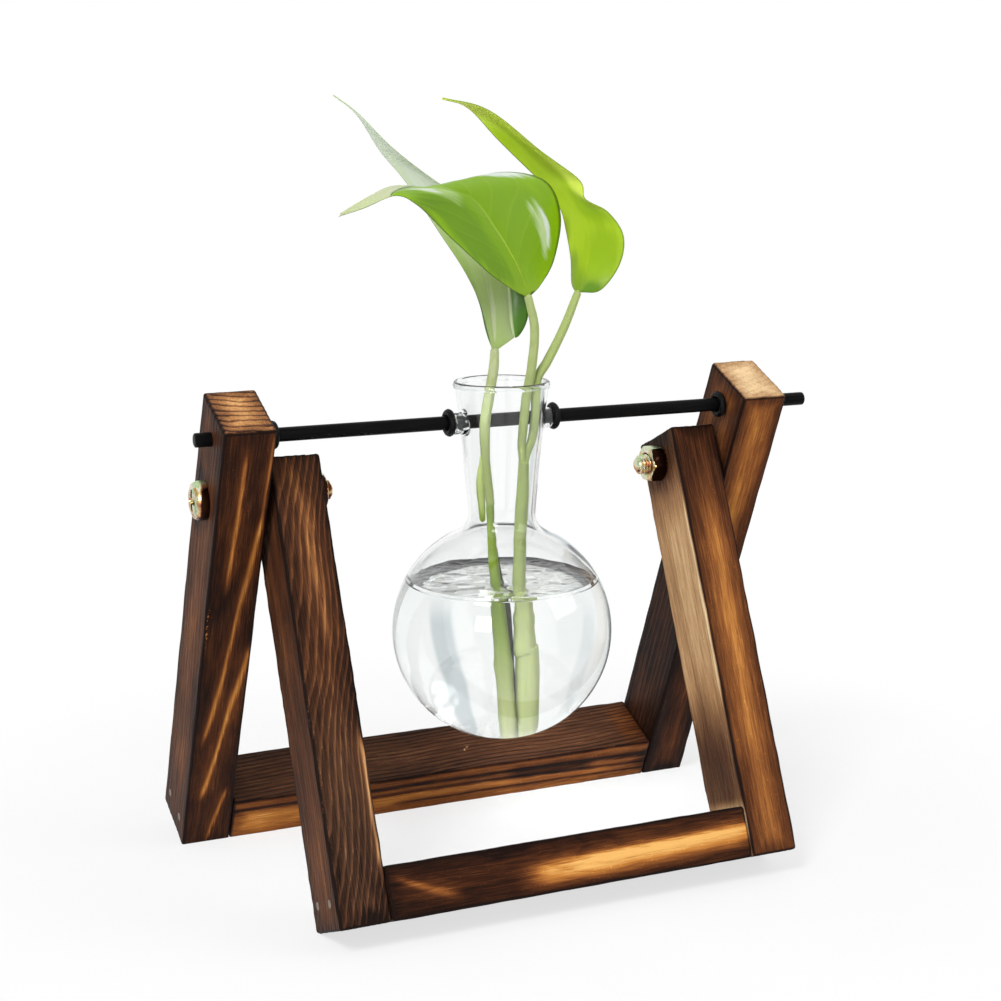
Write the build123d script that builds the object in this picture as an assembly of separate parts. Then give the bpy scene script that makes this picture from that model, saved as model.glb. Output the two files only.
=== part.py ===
from build123d import *
import math
import os

# Hydroponic vase: a round-bottomed glass flask hangs on a rod in a folding wooden stand.
# Millimetres. +Z is up, X runs along the rod and -Y is the front. The origin lies on the
# floor below the middle of the part. The rear frame carries the rod, and the front frame
# turns on two screws through the posts.

# Wooden bars, the same stock in both frames
bar_width = 15.0
bar_depth = 22.0
edge_round = 0.8
stand_width = 175.0
outer_post_length = 150.0
hole_setback = 8.5
rod_to_pivot = 20.0
frame_lean = 24.0
foot_flat = 2.0

# Brads that hold each crossbar between its posts
brad_radius = 0.7
brad_length = 28.0
brad_head_radius = 1.2
brad_head_height = 0.6
brad_spread = 11.0
brad_clearance = 0.02

# Pivot screws, washers and nuts
screw_radius = 3.0
screw_head_radius = 5.6
screw_head_height = 3.8
screw_head_crown = 1.6
screw_reach = 3.4
recess_width = 1.3
recess_span = 6.4
recess_depth = 2.2
washer_radius = 6.0
washer_thickness = 1.6
washer_clearance = 0.2
nut_across_flats = 10.0
nut_height = 5.0
nut_chamfer = 0.9
nut_clearance = 0.02
pivot_clearance = 0.05

# Hanging rod and its rubber rings
rod_radius = 2.0
rod_clearance = 0.05
rod_end_chamfer = 0.4
rod_left_reach = 4.6
rod_right_reach = 13.9
ring_section_radius = 1.0
ring_clearance = 0.02
ring_side_gap = 0.3

# Glass flask
bulb_radius = 32.4
glass_wall = 1.1
throat_radius = 9.9
throat_drop = 26.6
neck_straight = 1.05
shoulder_round = 6.0
mouth_radius = 13.9
rim_height = 10.2
rim_bead_radius = 1.1
collar_half_span = 15.2
collar_wall = 1.5
hang_hole_radius = 3.2
hang_gap = 0.1
flask_offset = -1.0

# Water
water_height = 15.2
water_clearance = 0.1

# Cuttings
stem_clearance = 0.3
left_stem_radius = 1.4
left_stem_top = 4.0
left_petiole_radius = 1.5
left_petiole_height = 43.0
sheath_radius = 0.85
sheath_length = 20.0
root_radius = 0.45
root_length = 35.0
right_stem_radius = 2.0
right_stem_top = 15.0
petiole_radius = 1.35
petiole_height = 47.5
leaf_seat = 0.3
left_leaf_length = 86.0
middle_leaf_length = 72.0
right_leaf_length = 68.0
leaf_thickness = 0.8

# Worked out from the sizes above
lean = math.radians(frame_lean)
leg_length = outer_post_length - hole_setback - rod_to_pivot
foot_trim = foot_flat * math.sin(lean) * math.cos(lean)
pivot_z = leg_length * math.cos(lean) + bar_depth / 2 * math.sin(lean) - foot_trim
rod_y = -rod_to_pivot * math.sin(lean)
rod_z = pivot_z + rod_to_pivot * math.cos(lean)
outer_half = stand_width / 2
inner_half = outer_half - bar_width - washer_thickness
stand_x = (rod_left_reach - rod_right_reach) / 2
rod_length = stand_width + rod_left_reach + rod_right_reach
flask_x = stand_x + flask_offset
throat_z = rod_z - throat_drop
shoulder_rise = math.sqrt(
    (bulb_radius + shoulder_round) ** 2 - (throat_radius + shoulder_round) ** 2
)
bulb_z = throat_z - neck_straight - shoulder_rise
rim_z = rod_z + rim_height
hole_z = rod_z - (hang_hole_radius - rod_radius - hang_gap)
bulb_inner = bulb_radius - glass_wall
throat_inner = throat_radius - glass_wall
water_z = bulb_z + water_height

parts = {}


def add(name, solid):
    """Keeps a finished piece under its node's name."""
    parts[name] = solid


def along_x(radius, x0, x1, y=0.0, z=0.0):
    """A cylinder from x0 to x1 about a line parallel to X."""
    plane = Plane(origin=(x0, y, z), x_dir=(0, 1, 0), z_dir=(1, 0, 0))
    return extrude(plane * Circle(radius), x1 - x0)


def solid_box(low, high):
    """A box between two opposite corners."""
    size = [b - a for a, b in zip(low, high)]
    middle = [(a + b) / 2 for a, b in zip(low, high)]
    return Pos(*middle) * Box(*size)


def lean_frame(piece, angle):
    """Leans a frame's piece about the pivot, stands it on the floor and trims its foot flat."""
    placed = Pos(stand_x, 0, pivot_z) * Rot(angle, 0, 0) * piece
    reach = outer_post_length + bar_depth
    under_floor = solid_box((-stand_width, -reach, -bar_depth), (stand_width, reach, 0))
    return placed - under_floor


# Wooden frames. Each is drawn upright with its pivot at the origin, then leaned.


def brad_places():
    """Depth and height of a joint's two brads, in the middle of the crossbar's end."""
    height = -leg_length + bar_width / 2
    return [(side * brad_spread / 2, height) for side in (-1, 1)]


def brad(side, face_x, y, z, extra=0.0):
    """One brad driven inwards from a post's outer face, or its hole when extra is given."""
    head_end = face_x - side * brad_head_height
    tip = face_x - side * (brad_length + extra)
    head = along_x(brad_head_radius + extra, min(face_x, head_end), max(face_x, head_end), y, z)
    shank = along_x(brad_radius + extra, min(face_x, tip), max(face_x, tip), y, z)
    return head + shank


def post(side, outer_face, top):
    """A post with rounded edges. top is its end's height above the pivot."""
    x0, x1 = sorted((side * outer_face, side * (outer_face - bar_width)))
    bar = solid_box((x0, -bar_depth / 2, -leg_length), (x1, bar_depth / 2, top))
    bar = fillet(bar.edges(), edge_round)
    bar -= along_x(screw_radius + pivot_clearance, x0, x1)
    for y, z in brad_places():
        bar -= brad(side, side * outer_face, y, z, brad_clearance)
    return bar


def crossbar(half_length, outer_face):
    """A bar between two posts, flush with their feet, with its long edges rounded."""
    low = (-half_length, -bar_depth / 2, -leg_length)
    high = (half_length, bar_depth / 2, -leg_length + bar_width)
    bar = solid_box(low, high)
    bar = fillet(bar.edges().filter_by(Axis.X), edge_round)
    for side in (-1, 1):
        for y, z in brad_places():
            bar -= brad(side, side * outer_face, y, z, brad_clearance)
    return bar


def brads(outer_face, angle):
    """The four brads of one frame."""
    group = []
    for side in (-1, 1):
        for y, z in brad_places():
            nail = brad(side, side * outer_face, y, z)
            group.append(Pos(stand_x, 0, pivot_z) * Rot(angle, 0, 0) * nail)
    return Compound(children=group)


for side, word in ((-1, "left"), (1, "right")):
    outer = post(side, outer_half, rod_to_pivot + hole_setback)
    x_low, x_high = sorted((side * outer_half, side * (outer_half - bar_width)))
    outer -= along_x(rod_radius + rod_clearance, x_low, x_high, 0, rod_to_pivot)
    add(f"{word}_outer_post", lean_frame(outer, frame_lean))
    add(f"{word}_inner_post", lean_frame(post(side, inner_half, hole_setback), -frame_lean))

add("rear_crossbar", lean_frame(crossbar(outer_half - bar_width, outer_half), frame_lean))
add("front_crossbar", lean_frame(crossbar(inner_half - bar_width, inner_half), -frame_lean))
add("rear_crossbar_brads", brads(outer_half, frame_lean))
add("front_crossbar_brads", brads(inner_half, -frame_lean))


# Pivot hardware. Each stack is drawn along +X from the outer post's outer face inwards,
# then turned round for the other side.

nut_seat = 2 * bar_width + washer_thickness
screw_length = nut_seat + nut_height + screw_reach


def pivot_screw():
    """A pan-head machine screw with a cross recess and a domed end."""
    shank = along_x(screw_radius, 0, screw_length)
    shank = chamfer(shank.faces().sort_by(Axis.X)[-1].edges(), screw_radius / 4)
    head = along_x(screw_head_radius, -screw_head_height, 0)
    head = fillet(head.faces().sort_by(Axis.X)[0].edges(), screw_head_crown)
    for span_y, span_z in ((recess_span, recess_width), (recess_width, recess_span)):
        low = (-screw_head_height, -span_y / 2, -span_z / 2)
        high = (-screw_head_height + recess_depth, span_y / 2, span_z / 2)
        head -= solid_box(low, high)
    return head + shank


def pivot_washer():
    """A flat washer that keeps the two posts apart."""
    ring = along_x(washer_radius, bar_width, bar_width + washer_thickness)
    bore = along_x(screw_radius + washer_clearance, bar_width, bar_width + washer_thickness)
    return ring - bore


def pivot_nut():
    """A hexagon nut with its corners chamfered on both faces."""
    plane = Plane(origin=(nut_seat, 0, 0), x_dir=(0, 1, 0), z_dir=(1, 0, 0))
    hexagon = RegularPolygon(nut_across_flats / 2, 6, major_radius=False)
    prism = extrude(plane * hexagon, nut_height)
    corner = nut_across_flats / math.sqrt(3)
    envelope = along_x(corner, nut_seat, nut_seat + nut_height)
    ends = envelope.faces().filter_by(GeomType.PLANE).edges()
    envelope = chamfer(ends, nut_chamfer / math.sqrt(3), nut_chamfer)
    bore = along_x(screw_radius + nut_clearance, nut_seat, nut_seat + nut_height)
    return (prism & envelope) - bore


for side, word in ((-1, "left"), (1, "right")):
    seat = Pos(stand_x + side * outer_half, 0, pivot_z) * Rot(0, 0, 0 if side < 0 else 180)
    add(f"{word}_pivot_screw", seat * pivot_screw())
    add(f"{word}_pivot_washer", seat * pivot_washer())
    add(f"{word}_pivot_nut", seat * pivot_nut())


# Rod and rings


def hanging_rod():
    """The straight rod through the rear frame's posts and the flask's neck."""
    x0 = stand_x - outer_half - rod_left_reach
    rod = along_x(rod_radius, x0, x0 + rod_length, rod_y, rod_z)
    ends = rod.faces().filter_by(GeomType.PLANE).edges()
    return chamfer(ends, rod_end_chamfer)


def ring_at(x):
    """A rubber ring round the rod, centred at x."""
    reach = rod_radius + ring_clearance + ring_section_radius
    place = Plane(origin=(x, rod_y, rod_z), x_dir=(0, 1, 0), z_dir=(1, 0, 0))
    return place * Torus(reach, ring_section_radius)


add("hanging_rod", hanging_rod())
post_ring = outer_half - bar_width - ring_side_gap - ring_section_radius
neck_ring = collar_half_span + ring_side_gap + ring_section_radius
for side, word in ((-1, "left"), (1, "right")):
    add(f"{word}_post_ring", ring_at(stand_x + side * post_ring))
    add(f"{word}_neck_ring", ring_at(flask_x + side * neck_ring))


# Flask. Its profile is drawn in the XZ plane as distance from its axis and height above
# the floor, and turned about the axis.


def flask_profile(bulb, throat, mouth, fillet_radius, top):
    """One side of the flask's outline, from its lowest point up to the mouth."""
    shoulder_z = bulb_z + shoulder_rise
    touch = bulb / (bulb + fillet_radius)
    bulb_end = ((throat + fillet_radius) * touch, bulb_z + (shoulder_z - bulb_z) * touch)
    waist = (bulb * math.cos(math.pi / 6), bulb_z - bulb * math.sin(math.pi / 6))
    bend = math.atan2(shoulder_z - bulb_z, throat + fillet_radius) / 2
    middle = (
        throat + fillet_radius - fillet_radius * math.cos(bend),
        shoulder_z - fillet_radius * math.sin(bend),
    )
    bulb_arc = ThreePointArc((0, bulb_z - bulb), waist, bulb_end)
    shoulder_arc = ThreePointArc(bulb_end, middle, (throat, shoulder_z))
    neck = Line((throat, shoulder_z), (throat, throat_z))
    flare = Line((throat, throat_z), (mouth, top))
    lid = Line((mouth, top), (0, top))
    axis = Line((0, top), (0, bulb_z - bulb))
    return make_face(bulb_arc + shoulder_arc + neck + flare + lid + axis)


def turned(face):
    """Turns a profile into a solid about the flask's axis."""
    solid = revolve(Plane.XZ * face, Axis.Z)
    return Pos(flask_x, rod_y, 0) * solid


def glass_flask():
    """The blown flask with its rim bead and the two collared holes that the rod goes through."""
    outside = turned(flask_profile(bulb_radius, throat_radius, mouth_radius, shoulder_round, rim_z))
    inside = turned(
        flask_profile(
            bulb_inner,
            throat_inner,
            mouth_radius - glass_wall,
            shoulder_round + glass_wall,
            rim_z,
        )
    )
    bead = Pos(flask_x, rod_y, rim_z) * Torus(mouth_radius - glass_wall / 2, rim_bead_radius)
    collar = along_x(
        hang_hole_radius + collar_wall,
        flask_x - collar_half_span,
        flask_x + collar_half_span,
        rod_y,
        hole_z,
    )
    collar = fillet(collar.faces().filter_by(GeomType.PLANE).edges(), collar_wall / 2)
    hole = along_x(
        hang_hole_radius, flask_x - bulb_radius, flask_x + bulb_radius, rod_y, hole_z
    )
    return (outside + collar - inside + bead) - hole


add("glass_flask", glass_flask())


# Water. It fills the bulb up to its level, with a slot that the stems can be drawn through.


def water():
    """The water in the bulb, clear of the glass and of the stems."""
    ball = Pos(flask_x, rod_y, bulb_z) * Sphere(bulb_inner - water_clearance)
    above = solid_box(
        (flask_x - bulb_radius, rod_y - bulb_radius, water_z),
        (flask_x + bulb_radius, rod_y + bulb_radius, bulb_z + bulb_radius),
    )
    slot_front = rod_y - rod_radius - 2 * right_stem_radius - 2 * stem_clearance
    slot = solid_box(
        (flask_x - throat_inner, slot_front, bulb_z - bulb_inner + 2 * stem_clearance),
        (flask_x + throat_inner, rod_y - rod_radius, water_z),
    )
    return ball - above - slot


add("water", water())


# Cuttings. Routes run upwards, and each is a table of sideways, backward and upward shares:
# the first two of the throat's inner radius, the last of the stretch's own height. A
# stretch's back stands just in front of the rod, so that the cutting draws straight up.


def route(shares, base_z, height, radii):
    """Turns a route's shares into points, each clear of the rod by its own radius."""
    points = []
    for (sideways, backwards, upwards), radius in zip(shares, radii):
        x = flask_x + sideways * throat_inner
        y = rod_y - rod_radius - stem_clearance - radius + backwards * throat_inner
        points.append((x, y, base_z + upwards * height))
    return points


def stalk(name, shares, base_z, height, radius, radius_shares):
    """Adds a stalk lofted through level circles, and returns its top point."""
    radii = [share * radius for share in radius_shares]
    points = route(shares, base_z, height, radii)
    rings = [Pos(*point) * Circle(r) for point, r in zip(points, radii)]
    add(name, loft(rings, ruled=True))
    return points[-1]


def foot_height(sideways, radius):
    """Height at which a stem's foot just clears the glass at the bottom of the bulb."""
    front = rod_radius + stem_clearance + radius
    across = math.hypot(sideways * throat_inner, front) + radius
    return bulb_z - math.sqrt(bulb_inner ** 2 - across ** 2) + stem_clearance


def leaf(stalk_top, length, station_shares):
    """A curved blade through its left edge, midrib and right edge at each station."""
    base = Vector(*stalk_top) + Vector(0, 0, leaf_seat)
    rows = [[base + Vector(*point) * length for point in row] for row in station_shares]
    blade = Face.make_surface_from_array_of_points(rows)
    return Solid.thicken(blade, leaf_thickness)


# Left cutting: a dark stem with a thin root, a torn sheath and the long leaf at the back
left_stem_shares = [
    (0.06, 0, 0),
    (-0.11, 0, 0.28),
    (-0.34, 0, 0.56),
    (-0.52, 0, 0.78),
    (-0.57, 0, 0.92),
    (-0.58, 0, 1),
]
left_stem_radius_shares = [0.85, 1.0, 1.05, 0.95, 0.7, 0.7]
left_foot = foot_height(left_stem_shares[0][0], left_stem_radius)
left_top_z = throat_z + left_stem_top
left_stem_height = left_top_z - left_foot
stalk(
    "left_stem",
    left_stem_shares,
    left_foot,
    left_stem_height,
    left_stem_radius,
    left_stem_radius_shares,
)

left_petiole_shares = [
    (-0.58, 0, 0),
    (-0.70, 0, 0.17),
    (-0.75, 0, 0.31),
    (-0.78, 0, 0.44),
    (-0.76, 0, 0.55),
    (-0.64, 0, 0.70),
    (-0.45, 0.06, 0.88),
    (-0.32, 0.22, 1),
]
left_petiole_radius_shares = [0.65, 0.75, 0.8, 0.95, 1.0, 1.0, 0.95, 0.85]
left_leaf_base = stalk(
    "left_petiole",
    left_petiole_shares,
    left_top_z,
    left_petiole_height,
    left_petiole_radius,
    left_petiole_radius_shares,
)

sheath_shares = [(-0.81, 0, 0), (-0.87, 0, 0.35), (-0.96, 0, 0.70), (-0.99, 0, 1)]
sheath_radius_shares = [0.9, 1.0, 1.0, 0.7]
sheath_foot = left_top_z + left_petiole_height * left_petiole_shares[2][2] - sheath_length
stalk("left_sheath", sheath_shares, sheath_foot, sheath_length, sheath_radius, sheath_radius_shares)

root_shares = [(0.18, 0, 0), (0.05, 0, 0.35), (-0.10, 0, 0.70), (-0.21, 0, 1)]
root_radius_shares = [0.6, 0.9, 1.0, 1.0]
root_foot = left_top_z - root_length - 2 * sheath_length * sheath_shares[1][2]
stalk("left_root", root_shares, root_foot, root_length, root_radius, root_radius_shares)

left_leaf_shares = [
    ((-0.01, 0.00, 0.00), (0.00, 0.00, 0.00), (0.01, 0.00, 0.00)),
    ((-0.02, 0.03, 0.09), (0.00, 0.01, 0.04), (0.07, -0.02, 0.05)),
    ((-0.03, 0.06, 0.16), (0.00, 0.04, 0.15), (0.07, -0.02, 0.15)),
    ((-0.07, 0.11, 0.27), (-0.01, 0.09, 0.28), (0.07, 0.02, 0.30)),
    ((-0.14, 0.15, 0.39), (-0.08, 0.13, 0.42), (0.00, 0.07, 0.45)),
    ((-0.23, 0.21, 0.55), (-0.20, 0.18, 0.57), (-0.15, 0.13, 0.55)),
    ((-0.30, 0.26, 0.65), (-0.29, 0.23, 0.66), (-0.28, 0.19, 0.66)),
    ((-0.37, 0.29, 0.77), (-0.37, 0.27, 0.77), (-0.36, 0.25, 0.77)),
    ((-0.45, 0.30, 0.83), (-0.44, 0.30, 0.83), (-0.44, 0.30, 0.83)),
]
add("left_leaf", leaf(left_leaf_base, left_leaf_length, left_leaf_shares))

# Right cutting: one stem that divides into two stalks below the rod
right_stem_shares = [
    (0.48, 0, 0),
    (0.48, 0, 0.30),
    (0.42, 0, 0.32),
    (0.41, 0, 0.50),
    (0.46, 0, 0.75),
    (0.54, 0, 0.90),
    (0.60, 0, 1),
]
right_stem_radius_shares = [0.9, 1.0, 1.0, 0.9, 0.9, 1.0, 1.15]
right_foot = foot_height(right_stem_shares[0][0], right_stem_radius)
right_top_z = throat_z + right_stem_top
stalk(
    "right_stem",
    right_stem_shares,
    right_foot,
    right_top_z - right_foot,
    right_stem_radius,
    right_stem_radius_shares,
)

middle_petiole_shares = [
    (0.46, 0, 0),
    (0.56, 0, 0.14),
    (0.68, -0.04, 0.38),
    (0.81, -0.17, 0.56),
    (0.84, -0.34, 0.80),
    (0.56, -0.45, 1),
]
middle_petiole_radius_shares = [0.8, 0.95, 1.0, 1.0, 0.95, 0.85]
middle_leaf_base = stalk(
    "middle_petiole",
    middle_petiole_shares,
    right_top_z,
    petiole_height,
    petiole_radius,
    middle_petiole_radius_shares,
)

right_petiole_shares = [
    (0.73, 0, 0),
    (0.93, 0, 0.12),
    (1.04, 0, 0.27),
    (1.09, 0, 0.48),
    (1.48, 0, 0.60),
    (2.08, 0.05, 0.79),
    (2.62, 0.10, 1),
]
right_petiole_radius_shares = [0.8, 0.95, 1.0, 1.0, 1.0, 0.95, 0.85]
right_leaf_base = stalk(
    "right_petiole",
    right_petiole_shares,
    right_top_z,
    petiole_height,
    petiole_radius,
    right_petiole_radius_shares,
)

middle_leaf_shares = [
    ((-0.01, 0.00, 0.00), (0.00, 0.00, 0.00), (0.01, 0.00, 0.00)),
    ((-0.08, -0.03, 0.03), (-0.02, -0.01, 0.05), (0.07, 0.03, 0.04)),
    ((-0.22, -0.10, 0.11), (-0.08, -0.03, 0.16), (0.17, 0.12, 0.13)),
    ((-0.37, -0.17, 0.22), (-0.17, -0.06, 0.28), (0.22, 0.15, 0.30)),
    ((-0.51, -0.22, 0.34), (-0.28, -0.10, 0.39), (0.14, 0.14, 0.44)),
    ((-0.60, -0.27, 0.39), (-0.43, -0.16, 0.43), (-0.11, 0.07, 0.48)),
    ((-0.65, -0.27, 0.41), (-0.56, -0.19, 0.43), (-0.36, -0.01, 0.43)),
    ((-0.70, -0.28, 0.40), (-0.67, -0.23, 0.42), (-0.59, -0.10, 0.44)),
    ((-0.78, -0.29, 0.37), (-0.77, -0.26, 0.39), (-0.74, -0.23, 0.41)),
    ((-0.89, -0.31, 0.34), (-0.88, -0.31, 0.35), (-0.88, -0.30, 0.35)),
]
add("middle_leaf", leaf(middle_leaf_base, middle_leaf_length, middle_leaf_shares))

right_leaf_shares = [
    ((-0.01, 0.00, 0.00), (0.00, 0.00, 0.00), (0.01, 0.00, 0.00)),
    ((0.00, 0.06, 0.04), (0.03, 0.01, 0.06), (0.09, -0.04, 0.01)),
    ((0.02, 0.11, 0.14), (0.08, 0.04, 0.16), (0.16, -0.08, 0.12)),
    ((0.02, 0.16, 0.26), (0.09, 0.08, 0.28), (0.18, -0.07, 0.24)),
    ((0.01, 0.19, 0.34), (0.07, 0.12, 0.35), (0.13, -0.02, 0.34)),
    ((-0.03, 0.21, 0.42), (0.04, 0.16, 0.42), (0.06, 0.05, 0.39)),
    ((-0.10, 0.23, 0.49), (-0.01, 0.20, 0.50), (0.05, 0.09, 0.47)),
    ((-0.26, 0.25, 0.64), (-0.17, 0.24, 0.64), (-0.10, 0.15, 0.59)),
    ((-0.38, 0.29, 0.77), (-0.34, 0.26, 0.77), (-0.31, 0.22, 0.76)),
    ((-0.50, 0.28, 0.81), (-0.50, 0.28, 0.81), (-0.49, 0.28, 0.82)),
]
add("right_leaf", leaf(right_leaf_base, right_leaf_length, right_leaf_shares))


os.makedirs("parts", exist_ok=True)
for name, piece in parts.items():
    export_step(piece, f"parts/{name}.step")
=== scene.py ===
"""Dresses the hydroponic vase: a scorched folding stand, its fixings, the glass flask, the
water and the cuttings, with a pale floor, soft light and a camera. Lengths are in millimetres
unless a line says otherwise, and angles in the classes' fields are in degrees."""

import logging
import math
from dataclasses import dataclass
from enum import Enum
from typing import Callable, Optional, Sequence, Union

import bmesh
import bpy
import numpy as np
from mathutils import Matrix, Vector


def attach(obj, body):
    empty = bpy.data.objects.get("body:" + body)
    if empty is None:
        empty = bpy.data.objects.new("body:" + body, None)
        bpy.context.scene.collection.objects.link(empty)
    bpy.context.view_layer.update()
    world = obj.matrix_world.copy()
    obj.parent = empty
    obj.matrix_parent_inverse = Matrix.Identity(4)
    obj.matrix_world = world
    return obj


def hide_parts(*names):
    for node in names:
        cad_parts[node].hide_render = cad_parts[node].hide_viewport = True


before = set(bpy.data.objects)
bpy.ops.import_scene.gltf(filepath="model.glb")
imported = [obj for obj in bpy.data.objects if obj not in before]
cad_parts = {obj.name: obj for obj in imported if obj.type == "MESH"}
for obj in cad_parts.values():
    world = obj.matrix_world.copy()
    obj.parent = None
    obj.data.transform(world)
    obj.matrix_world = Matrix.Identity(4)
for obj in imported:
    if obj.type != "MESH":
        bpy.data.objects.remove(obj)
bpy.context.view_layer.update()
log = logging.getLogger("vase")

MM = 0.001
# Faces that meet at more than this angle keep a sharp edge, on the fixings at a smaller one
SHARP_ANGLE = math.radians(38)
FACET_ANGLE = math.radians(20)
# How far each frame leans from upright, in degrees
LEAN = 24.0
# Points nearer than this are one point, in millimetres
WELD = 0.001
# Side veins on each half of a leaf, and how many of their gaps each one climbs up to the edge
VEINS = 11
VEIN_CLIMB = 2.9
WHITE = (1.0, 1.0, 1.0, 1.0)

Number = Union[float, "Signal", np.ndarray]
Colour = tuple[float, float, float, float]
Faces = list[tuple[int, ...]]


def shade(red: int, green: int, blue: int) -> Colour:
    """Turns a display colour into a shader's linear colour.

    Args:
        red: Red from 0 to 255, as a screen shows it.
        green: Green from 0 to 255.
        blue: Blue from 0 to 255.

    Returns:
        The linear colour with an alpha of 1.
    """
    def linear(level: int) -> float:
        share = level / 255
        return share / 12.92 if share <= 0.04045 else ((share + 0.055) / 1.055) ** 2.4

    return (linear(red), linear(green), linear(blue), 1.0)


def operator(operation: str, swapped: bool = False) -> Callable[["Signal", Number], "Signal"]:
    """Makes one of Signal's operators.

    Args:
        operation: The Math node's operation.
        swapped: Whether the other number comes first.

    Returns:
        The method, which adds the node.
    """
    def method(self: "Signal", other: Number) -> "Signal":
        """Adds the node for this number and the other."""
        return self.maths(operation, other, self) if swapped else self.maths(operation, self, other)

    return method


class Signal:
    """A node's output in a material, with sums that add Math nodes."""

    def __init__(self, recipe: "Recipe", socket: bpy.types.NodeSocket) -> None:
        """Keeps the output and the recipe that it belongs to."""
        self.recipe = recipe
        self.socket = socket

    def maths(self, operation: str, *values: Number) -> "Signal":
        """Adds a Math node.

        Args:
            operation: The node's operation.
            *values: What goes into its sockets, in order.

        Returns:
            The node's result.
        """
        return self.recipe.node("ShaderNodeMath", {"operation": operation}, dict(enumerate(values)))

    def __abs__(self) -> "Signal":
        """The number without its sign."""
        return self.maths("ABSOLUTE", self)

    __add__ = operator("ADD")
    __sub__ = operator("SUBTRACT")
    __rsub__ = operator("SUBTRACT", swapped=True)
    __mul__ = __rmul__ = operator("MULTIPLY")
    __truediv__ = operator("DIVIDE")
    __pow__ = operator("POWER")
    __mod__ = operator("FLOORED_MODULO")


def sine(value: Number) -> Number:
    """The sine of an array or of a shader's number."""
    return value.maths("SINE", value) if isinstance(value, Signal) else np.sin(value)


def least(first: Signal, second: Number) -> Signal:
    """The smaller of two numbers."""
    return first.maths("MINIMUM", first, second)


def most(first: Signal, second: Number) -> Signal:
    """The larger of two numbers."""
    return first.maths("MAXIMUM", first, second)


def smooth(value: Number, low: float, high: float) -> Number:
    """A smooth step.

    Args:
        value: The number that climbs, an array or a shader's number.
        low: Where the step begins.
        high: Where it ends. It may lie below low, and then the step goes down.

    Returns:
        0 before the step, 1 after it.
    """
    if isinstance(value, Signal):
        settings = {"interpolation_type": "SMOOTHSTEP"}
        if low > high:
            return 1 - smooth(value, high, low)
        limits = {"Value": value, "From Min": low, "From Max": high}
        return value.recipe.node("ShaderNodeMapRange", settings, limits)
    share = np.clip((value - low) / (high - low), 0, 1)
    return share * share * (3 - 2 * share)


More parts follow.
